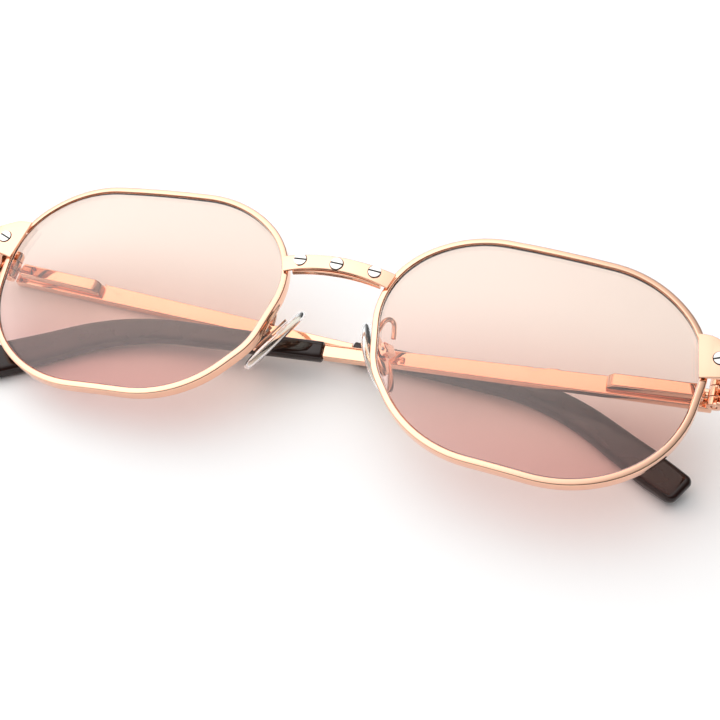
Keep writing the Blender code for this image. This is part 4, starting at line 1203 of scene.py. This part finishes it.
# Temples ------------------------------------------------------------------------------------------
def temple_centre(u, droop):
    """Centre line of the temple: its place, and how far it has turned down."""
    if u <= BEND_START:
        along, down, turn = u, 0.0, 0.0
    else:
        turn = min((u - BEND_START) / BEND_RADIUS, BEND_ANGLE)
        past = u - BEND_START - turn * BEND_RADIUS
        along = BEND_START + BEND_RADIUS * math.sin(turn) + past * math.cos(turn)
        down = BEND_RADIUS * (1.0 - math.cos(turn)) + past * math.sin(turn)
    cos_d, sin_d = math.cos(droop), math.sin(droop)
    out = BAR_OFFSET - TIP_CURL * max(0.0, u - BEND_START) ** 2
    return Vector((along * cos_d - down * sin_d, -along * sin_d - down * cos_d, out)), turn + droop


def temple_point(place, side):
    """Turns (u, v, w) into the temple frame's x, y and z."""
    return Vector((side * place[2], place[1], -place[0]))


def temple_ring(name, u, section):
    """A section of the temple at u; its pairs are (up, out)."""
    side = SIDES[name]
    centre, turn = temple_centre(u, DROOP[name])
    up_dir = Vector((math.sin(turn), math.cos(turn), 0.0))
    points = []
    for up, out in section:
        points.append(temple_point(centre + up_dir * up + Vector((0.0, 0.0, out)), side))
    return laid(temple_frame(name), points)


def build_temple_bar(name):
    """The metal bar, which thins to a core inside the tip."""
    edge = bpy.context.scene.eyewear_sizes.bar_edge
    rings = []
    end = SLEEVE_START - BAR_TO_SLEEVE
    half_out = BAR_THICKNESS / 2.0
    for i in range(BAR_STEPS + 1):
        share = i / BAR_STEPS
        half_up = (BAR_HEIGHTS[0] + (BAR_HEIGHTS[1] - BAR_HEIGHTS[0]) * share) / 2.0
        u = BAR_START + (end - BAR_START) * share
        if i == 0:
            section = rounded_box(half_up - BAR_END_BREAK, half_out - BAR_END_BREAK, edge)
            rings.append(temple_ring(name, u, section))
            u += BAR_END_BREAK
        rings.append(temple_ring(name, u, rounded_box(half_up, half_out, edge)))
    core = rounded_box(CORE_SIZE[0] / 2.0, CORE_SIZE[1] / 2.0, CORE_EDGE)
    for i in range(CORE_STEPS + 1):
        u = end + CORE_SHOULDER + (CORE_END - SLEEVE_START) * i / CORE_STEPS
        rings.append(temple_ring(name, u, core))
    bar = skin(f"{name}_temple_bar_polished", rings)
    finish_piece(bar, f"{name}_temple", rose_gold(), "rose_gold", f"{name}_temple_bar")


def tip_size(share):
    """Half height and half width of the tip; it draws in a little before its end."""
    height = SLEEVE_HEIGHTS[0] + (SLEEVE_HEIGHTS[1] - SLEEVE_HEIGHTS[0]) * share**SLEEVE_FLARE
    width = SLEEVE_THICKNESSES[0] + (SLEEVE_THICKNESSES[1] - SLEEVE_THICKNESSES[0]) * share
    past = max(0.0, share - SLEEVE_NARROWING_START) / (1.0 - SLEEVE_NARROWING_START)
    scale = SLEEVE_FIT / 2.0 * (1.0 - SLEEVE_NARROWING * past**1.5)
    return height * scale, width * scale


def tip_ring(name, u, share, inset):
    edge = bpy.context.scene.eyewear_sizes.tip_edge
    half_up, half_out = tip_size(share)
    section = rounded_box(half_up - inset, half_out - inset, edge, FINE_STEPS)
    return temple_ring(name, u, section)


def build_temple_tip(name):
    """The moulded tip: the core's pocket, a rounded mouth, the flare and a rounded end."""
    rings = []
    pocket = (CORE_SIZE[0] / 2.0 + POCKET_GAP, CORE_SIZE[1] / 2.0 + POCKET_GAP)
    pocket_section = rounded_box(*pocket, POCKET_EDGE, FINE_STEPS)
    pocket_span = CORE_END + POCKET_PAST_CORE - SLEEVE_START
    for i in range(POCKET_STEPS + 1):
        u = SLEEVE_START + pocket_span * (1.0 - i / POCKET_STEPS)
        rings.append(temple_ring(name, u, pocket_section))
    for degrees in (0.0, 30.0, 60.0):
        angle = math.radians(degrees)
        inset = SLEEVE_LIP * (1.0 - math.sin(angle))
        u = SLEEVE_START + SLEEVE_LIP * (1.0 - math.cos(angle))
        rings.append(tip_ring(name, u, 0.0, inset))
    end = TEMPLE_LENGTH + SLEEVE_PAST_END
    span = TEMPLE_LENGTH - SLEEVE_START
    straight = end - SLEEVE_END_ROUND - SLEEVE_START - SLEEVE_LIP
    for i in range(SLEEVE_STEPS + 1):
        u = SLEEVE_START + SLEEVE_LIP + straight * i / SLEEVE_STEPS
        share = min(1.0, (u - SLEEVE_START) / span)
        rings.append(tip_ring(name, u, share, 0.0))
    for degrees in (15.0, 30.0, 45.0, 60.0, 75.0, 90.0):
        angle = math.radians(degrees)
        inset = SLEEVE_END_ROUND * (1.0 - math.cos(angle))
        u = end - SLEEVE_END_ROUND * (1.0 - math.sin(angle))
        rings.append(tip_ring(name, u, 1.0, inset))
    tip = skin(f"{name}_temple_tip_moulded", rings)
    finish_piece(tip, f"{name}_temple", dark_acetate(), "tip_acetate", f"{name}_temple_tip")


def build_housing(name):
    """The raised spring housing on the bar's inner face, with a sloping nose."""
    side = SIDES[name]
    droop = DROOP[name]
    edge = bpy.context.scene.eyewear_sizes.bar_edge
    low_w, high_w = HOUSING_WIDTHS
    start, end = HOUSING_SPAN
    half_up = HOUSING_HEIGHT / 2.0
    rows = [
        (start, half_up - HOUSING_MOUTH_BREAK, low_w + HOUSING_MOUTH_BREAK),
        (start + HOUSING_MOUTH_LENGTH, half_up, low_w),
        (start + HOUSING_STRAIGHT_STEP, half_up, low_w),
        (end - HOUSING_NOSE - HOUSING_STRAIGHT_STEP, half_up, low_w),
    ]
    for left, lower, inner in HOUSING_NOSE_SLOPE:
        rows.append((end - HOUSING_NOSE * left, half_up - lower * MM, low_w + inner * MM))
    place = temple_frame(name)
    rings = []
    for u, up, inner_w in rows:
        middle_w = (inner_w + high_w) / 2.0
        half_w = (high_w - inner_w) / 2.0
        ring = []
        for a, b in rounded_box(up, half_w, edge * HOUSING_EDGE_SHARE, FINE_STEPS):
            v = a * math.cos(droop) - u * math.sin(droop)
            along = u * math.cos(droop) + a * math.sin(droop)
            ring.append(temple_point((along, v, middle_w + b), side))
        rings.append(laid(place, ring))
    housing = skin(f"{name}_spring_housing_polished", rings)
    middle_w = (low_w + high_w) / 2.0
    bore = []
    for u in (BORE_END, start - MM):
        bore.append(place @ temple_point((u, -u * math.tan(droop), middle_w), side))
    # The bore's cut walls take near-black gold: painted shade.
    finish = {"material": rose_gold(), "painted_shade": painted_shade_gold()}
    cut(housing, cylinder_between(*bore, BORE_RADIUS), **finish)
    node = f"{name}_spring_housing"
    finish_piece(housing, f"{name}_temple", rose_gold(), "rose_gold", node)


# Nose pads ---------------------------------------------------------------------------------------
def build_pad_arm(name, side):
    """The bent wire from the rim to the pad box, drawn as a curve and made a mesh."""
    deselect_all()
    curve = bpy.data.curves.new(f"{name}_pad_arm_wire", "CURVE")
    curve.dimensions = "3D"
    curve.bevel_depth = ARM_RADIUS
    curve.bevel_resolution = 6
    curve.use_fill_caps = True
    curve.resolution_u = 10
    spline = curve.splines.new("BEZIER")
    spline.bezier_points.add(len(ARM_POINTS) - 1)
    for knot, (x, y, z) in zip(spline.bezier_points, ARM_POINTS):
        knot.co = FRONT @ (Vector((side * x, y, z)) * MM)
        knot.handle_left_type = knot.handle_right_type = "AUTO"
    obj = bpy.data.objects.new(f"{name}_pad_arm_wire", curve)
    bpy.context.scene.collection.objects.link(obj)
    pick(obj)
    bpy.ops.object.convert(target="MESH")
    obj = bpy.context.object
    pick(obj)
    bpy.ops.object.mode_set(mode="EDIT")
    bpy.ops.mesh.select_all(action="SELECT")
    bpy.ops.mesh.remove_doubles(threshold=ARM_MERGE_DISTANCE)
    bpy.ops.mesh.normals_make_consistent(inside=False)
    bpy.ops.object.mode_set(mode="OBJECT")
    finish_piece(obj, "front", rose_gold(), "rose_gold", f"{name}_pad_arm")


def build_nose_pad(name, side):
    """A soft clear pad: a ball pressed flat, fuller towards its lower end."""
    deselect_all()
    bpy.ops.mesh.primitive_uv_sphere_add(segments=48, ring_count=24, radius=1.0)
    pad = bpy.context.object
    pad.name = f"{name}_nose_pad_clear"
    for vert in pad.data.vertices:
        x, y, z = vert.co
        out = math.copysign(abs(z) ** PAD_FACE_POWER, z)
        rim = math.hypot(x, y)
        swell = rim**PAD_EDGE_POWER / rim if rim > 1e-6 else 1.0
        taper = 1.0 - PAD_TAPER * y
        dish = -PAD_DISH * (1.0 - y * y) if z > 0.0 else 0.0
        vert.co.x = x * swell * taper * PAD_SIZE.x * 0.5
        vert.co.y = y * swell * PAD_SIZE.y * 0.5
        vert.co.z = (out + dish * (1.0 - rim)) * PAD_SIZE.z * PAD_FILL
    pad.data.transform(pad_frame(side))
    finish_piece(pad, f"{name}_pad", clear_silicone(), "clear_silicone", f"{name}_nose_pad")


def build_pad_hardware(name):
    softened_copy(f"{name}_pad_box", "front", PAD_BOX_SOFTENING)
    softened_copy(f"{name}_pad_plate", f"{name}_pad", PAD_PLATE_SOFTENING)


# Stage -------------------------------------------------------------------------------------------
def build_floor():
    """A plain floor in matt white."""
    deselect_all()
    bpy.ops.mesh.primitive_grid_add(x_subdivisions=2, y_subdivisions=2, size=2.0 * FLOOR_HALF)
    floor = bpy.context.object
    floor.name = "studio_floor"
    floor.location.z = -FLOOR_DROP
    material, shader = new_material("Matt White Floor")
    shader.inputs["Base Color"].default_value = (0.93, 0.93, 0.93, 1.0)
    shader.inputs["Roughness"].default_value = 0.6
    shader.inputs["Specular IOR Level"].default_value = 0.2
    floor.data.materials.append(material)


def area_light(name, place, aim, size, power):
    lamp = bpy.data.lights.new(name, "AREA")
    lamp.shape = "RECTANGLE"
    lamp.size, lamp.size_y = size
    lamp.energy = power
    obj = bpy.data.objects.new(name, lamp)
    bpy.context.scene.collection.objects.link(obj)
    obj.location = place
    obj.rotation_mode = "QUATERNION"
    obj.rotation_quaternion = (Vector(aim) - Vector(place)).to_track_quat("-Z", "Y")
    return obj


def build_sky():
    """A studio tent: one broad bright area high on the left, darker towards the table."""
    world = bpy.data.worlds.new("Studio Tent")
    bpy.context.scene.world = world
    world.use_nodes = True
    nodes, links = world.node_tree.nodes, world.node_tree.links
    background = nodes["Background"]
    place = nodes.new("ShaderNodeTexCoord")
    towards = nodes.new("ShaderNodeVectorMath")
    towards.operation = "DOT_PRODUCT"
    towards.inputs[1].default_value = TENT_BRIGHTEST.normalized()
    ramp = nodes.new("ShaderNodeValToRGB")
    links.new(place.outputs["Generated"], towards.inputs[0])
    links.new(towards.outputs["Value"], ramp.inputs["Fac"])
    ramp.color_ramp.interpolation = "B_SPLINE"
    stops = ramp.color_ramp.elements
    while len(stops) < len(TENT_LEVELS):
        stops.new(0.5)
    for stop, (position, grey) in zip(stops, TENT_LEVELS):
        stop.position = position
        stop.color = (grey, grey, grey, 1.0)
    links.new(ramp.outputs["Color"], background.inputs["Color"])
    background.inputs["Strength"].default_value = TENT_STRENGTH


def build_camera():
    data = bpy.data.cameras.new("studio_camera")
    data.sensor_width = SENSOR_MM
    data.lens = CAMERA_LENS_MM
    data.clip_start = 0.01
    camera = bpy.data.objects.new("studio_camera", data)
    bpy.context.scene.collection.objects.link(camera)
    place, aim = FRONT @ CAMERA_PLACE, FRONT @ CAMERA_AIM
    camera.location = place
    camera.rotation_mode = "QUATERNION"
    turn = (aim - place).to_track_quat("-Z", "Y")
    camera.rotation_quaternion = turn @ Quaternion((0.0, 0.0, 1.0), CAMERA_ROLL)
    bpy.context.scene.camera = camera


# Operators --------------------------------------------------------------------------------------
class EYEWEAR_OT_rims(bpy.types.Operator):
    """Model both rims"""

    bl_idname = "eyewear.rims"
    bl_label = "Rims"

    def execute(self, context):
        for name, side in SIDES.items():
            build_rim(name, side)
        return {"FINISHED"}


class EYEWEAR_OT_lenses(bpy.types.Operator):
    """Model both tinted lenses"""

    bl_idname = "eyewear.lenses"
    bl_label = "Lenses"

    def execute(self, context):
        for name, side in SIDES.items():
            build_lens(name, side)
        return {"FINISHED"}


class EYEWEAR_OT_bridge(bpy.types.Operator):
    """Model the bridge plate and the bar behind it"""

    bl_idname = "eyewear.bridge"
    bl_label = "Bridge"

    def execute(self, context):
        build_bridge_plate()
        build_bridge_bar()
        return {"FINISHED"}


class EYEWEAR_OT_endpieces(bpy.types.Operator):
    """Model the endpieces"""

    bl_idname = "eyewear.endpieces"
    bl_label = "Endpieces"

    def execute(self, context):
        for name, side in SIDES.items():
            build_endpiece(name, side)
        return {"FINISHED"}


class EYEWEAR_OT_hinges(bpy.types.Operator):
    """Finish the rim locks, hinge knuckles and spring parts"""

    bl_idname = "eyewear.hinges"
    bl_label = "Hinges"

    def execute(self, context):
        for name in SIDES:
            build_hinge(name)
        return {"FINISHED"}


class EYEWEAR_OT_screws(bpy.types.Operator):
    """Turn every slotted screw"""

    bl_idname = "eyewear.screws"
    bl_label = "Screws"

    def execute(self, context):
        build_bridge_screws()
        for name, side in SIDES.items():
            build_side_screws(name, side)
        return {"FINISHED"}


class EYEWEAR_OT_temples(bpy.types.Operator):
    """Model the temple bars and their spring housings"""

    bl_idname = "eyewear.temples"
    bl_label = "Temple Bars"

    def execute(self, context):
        for name in SIDES:
            build_temple_bar(name)
            build_housing(name)
        return {"FINISHED"}


class EYEWEAR_OT_tips(bpy.types.Operator):
    """Model the moulded temple tips"""

    bl_idname = "eyewear.tips"
    bl_label = "Temple Tips"

    def execute(self, context):
        for name in SIDES:
            build_temple_tip(name)
        return {"FINISHED"}


class EYEWEAR_OT_pads(bpy.types.Operator):
    """Model the nose pads, their arms, boxes and plates"""

    bl_idname = "eyewear.pads"
    bl_label = "Nose Pads"

    def execute(self, context):
        for name, side in SIDES.items():
            build_pad_arm(name, side)
            build_nose_pad(name, side)
            build_pad_hardware(name)
        return {"FINISHED"}


class EYEWEAR_OT_stage(bpy.types.Operator):
    """Set up the floor, the light and the camera"""

    bl_idname = "eyewear.stage"
    bl_label = "Stage"

    def execute(self, context):
        build_camera()
        build_floor()
        build_sky()
        fill = area_light("table_fill", FILL_PLACE, (0.0, 0.0, 0.0), FILL_SIZE, FILL_WATTS)
        fill.visible_glossy = False
        context.scene.view_settings.view_transform = "Standard"
        return {"FINISHED"}


class EYEWEAR_PT_panel(bpy.types.Panel):
    """Lists the sizes, the colours and every step of the build"""

    bl_idname = "EYEWEAR_PT_panel"
    bl_label = "Folded Sunglasses"
    bl_space_type = "VIEW_3D"
    bl_region_type = "UI"
    bl_category = "Eyewear"

    def draw(self, context):
        layout = self.layout
        for group in (context.scene.eyewear_sizes, context.scene.eyewear_colours):
            for field in group.bl_rna.properties:
                if field.identifier not in ("rna_type", "name"):
                    layout.prop(group, field.identifier)
        for step in STEPS:
            layout.operator(step.bl_idname)


STEPS = (
    EYEWEAR_OT_stage,
    EYEWEAR_OT_rims,
    EYEWEAR_OT_lenses,
    EYEWEAR_OT_bridge,
    EYEWEAR_OT_endpieces,
    EYEWEAR_OT_hinges,
    EYEWEAR_OT_screws,
    EYEWEAR_OT_temples,
    EYEWEAR_OT_tips,
    EYEWEAR_OT_pads,
)
CLASSES = (EyewearSizes, EyewearColours, *STEPS, EYEWEAR_PT_panel)


def register():
    for cls in CLASSES:
        bpy.utils.register_class(cls)
    bpy.types.Scene.eyewear_sizes = PointerProperty(type=EyewearSizes)
    bpy.types.Scene.eyewear_colours = PointerProperty(type=EyewearColours)


def unregister():
    del bpy.types.Scene.eyewear_colours
    del bpy.types.Scene.eyewear_sizes
    for cls in reversed(CLASSES):
        bpy.utils.unregister_class(cls)


def main():
    register()
    for step in STEPS:
        group, name = step.bl_idname.split(".")
        getattr(getattr(bpy.ops, group), name)()


if __name__ == "__main__":
    main()
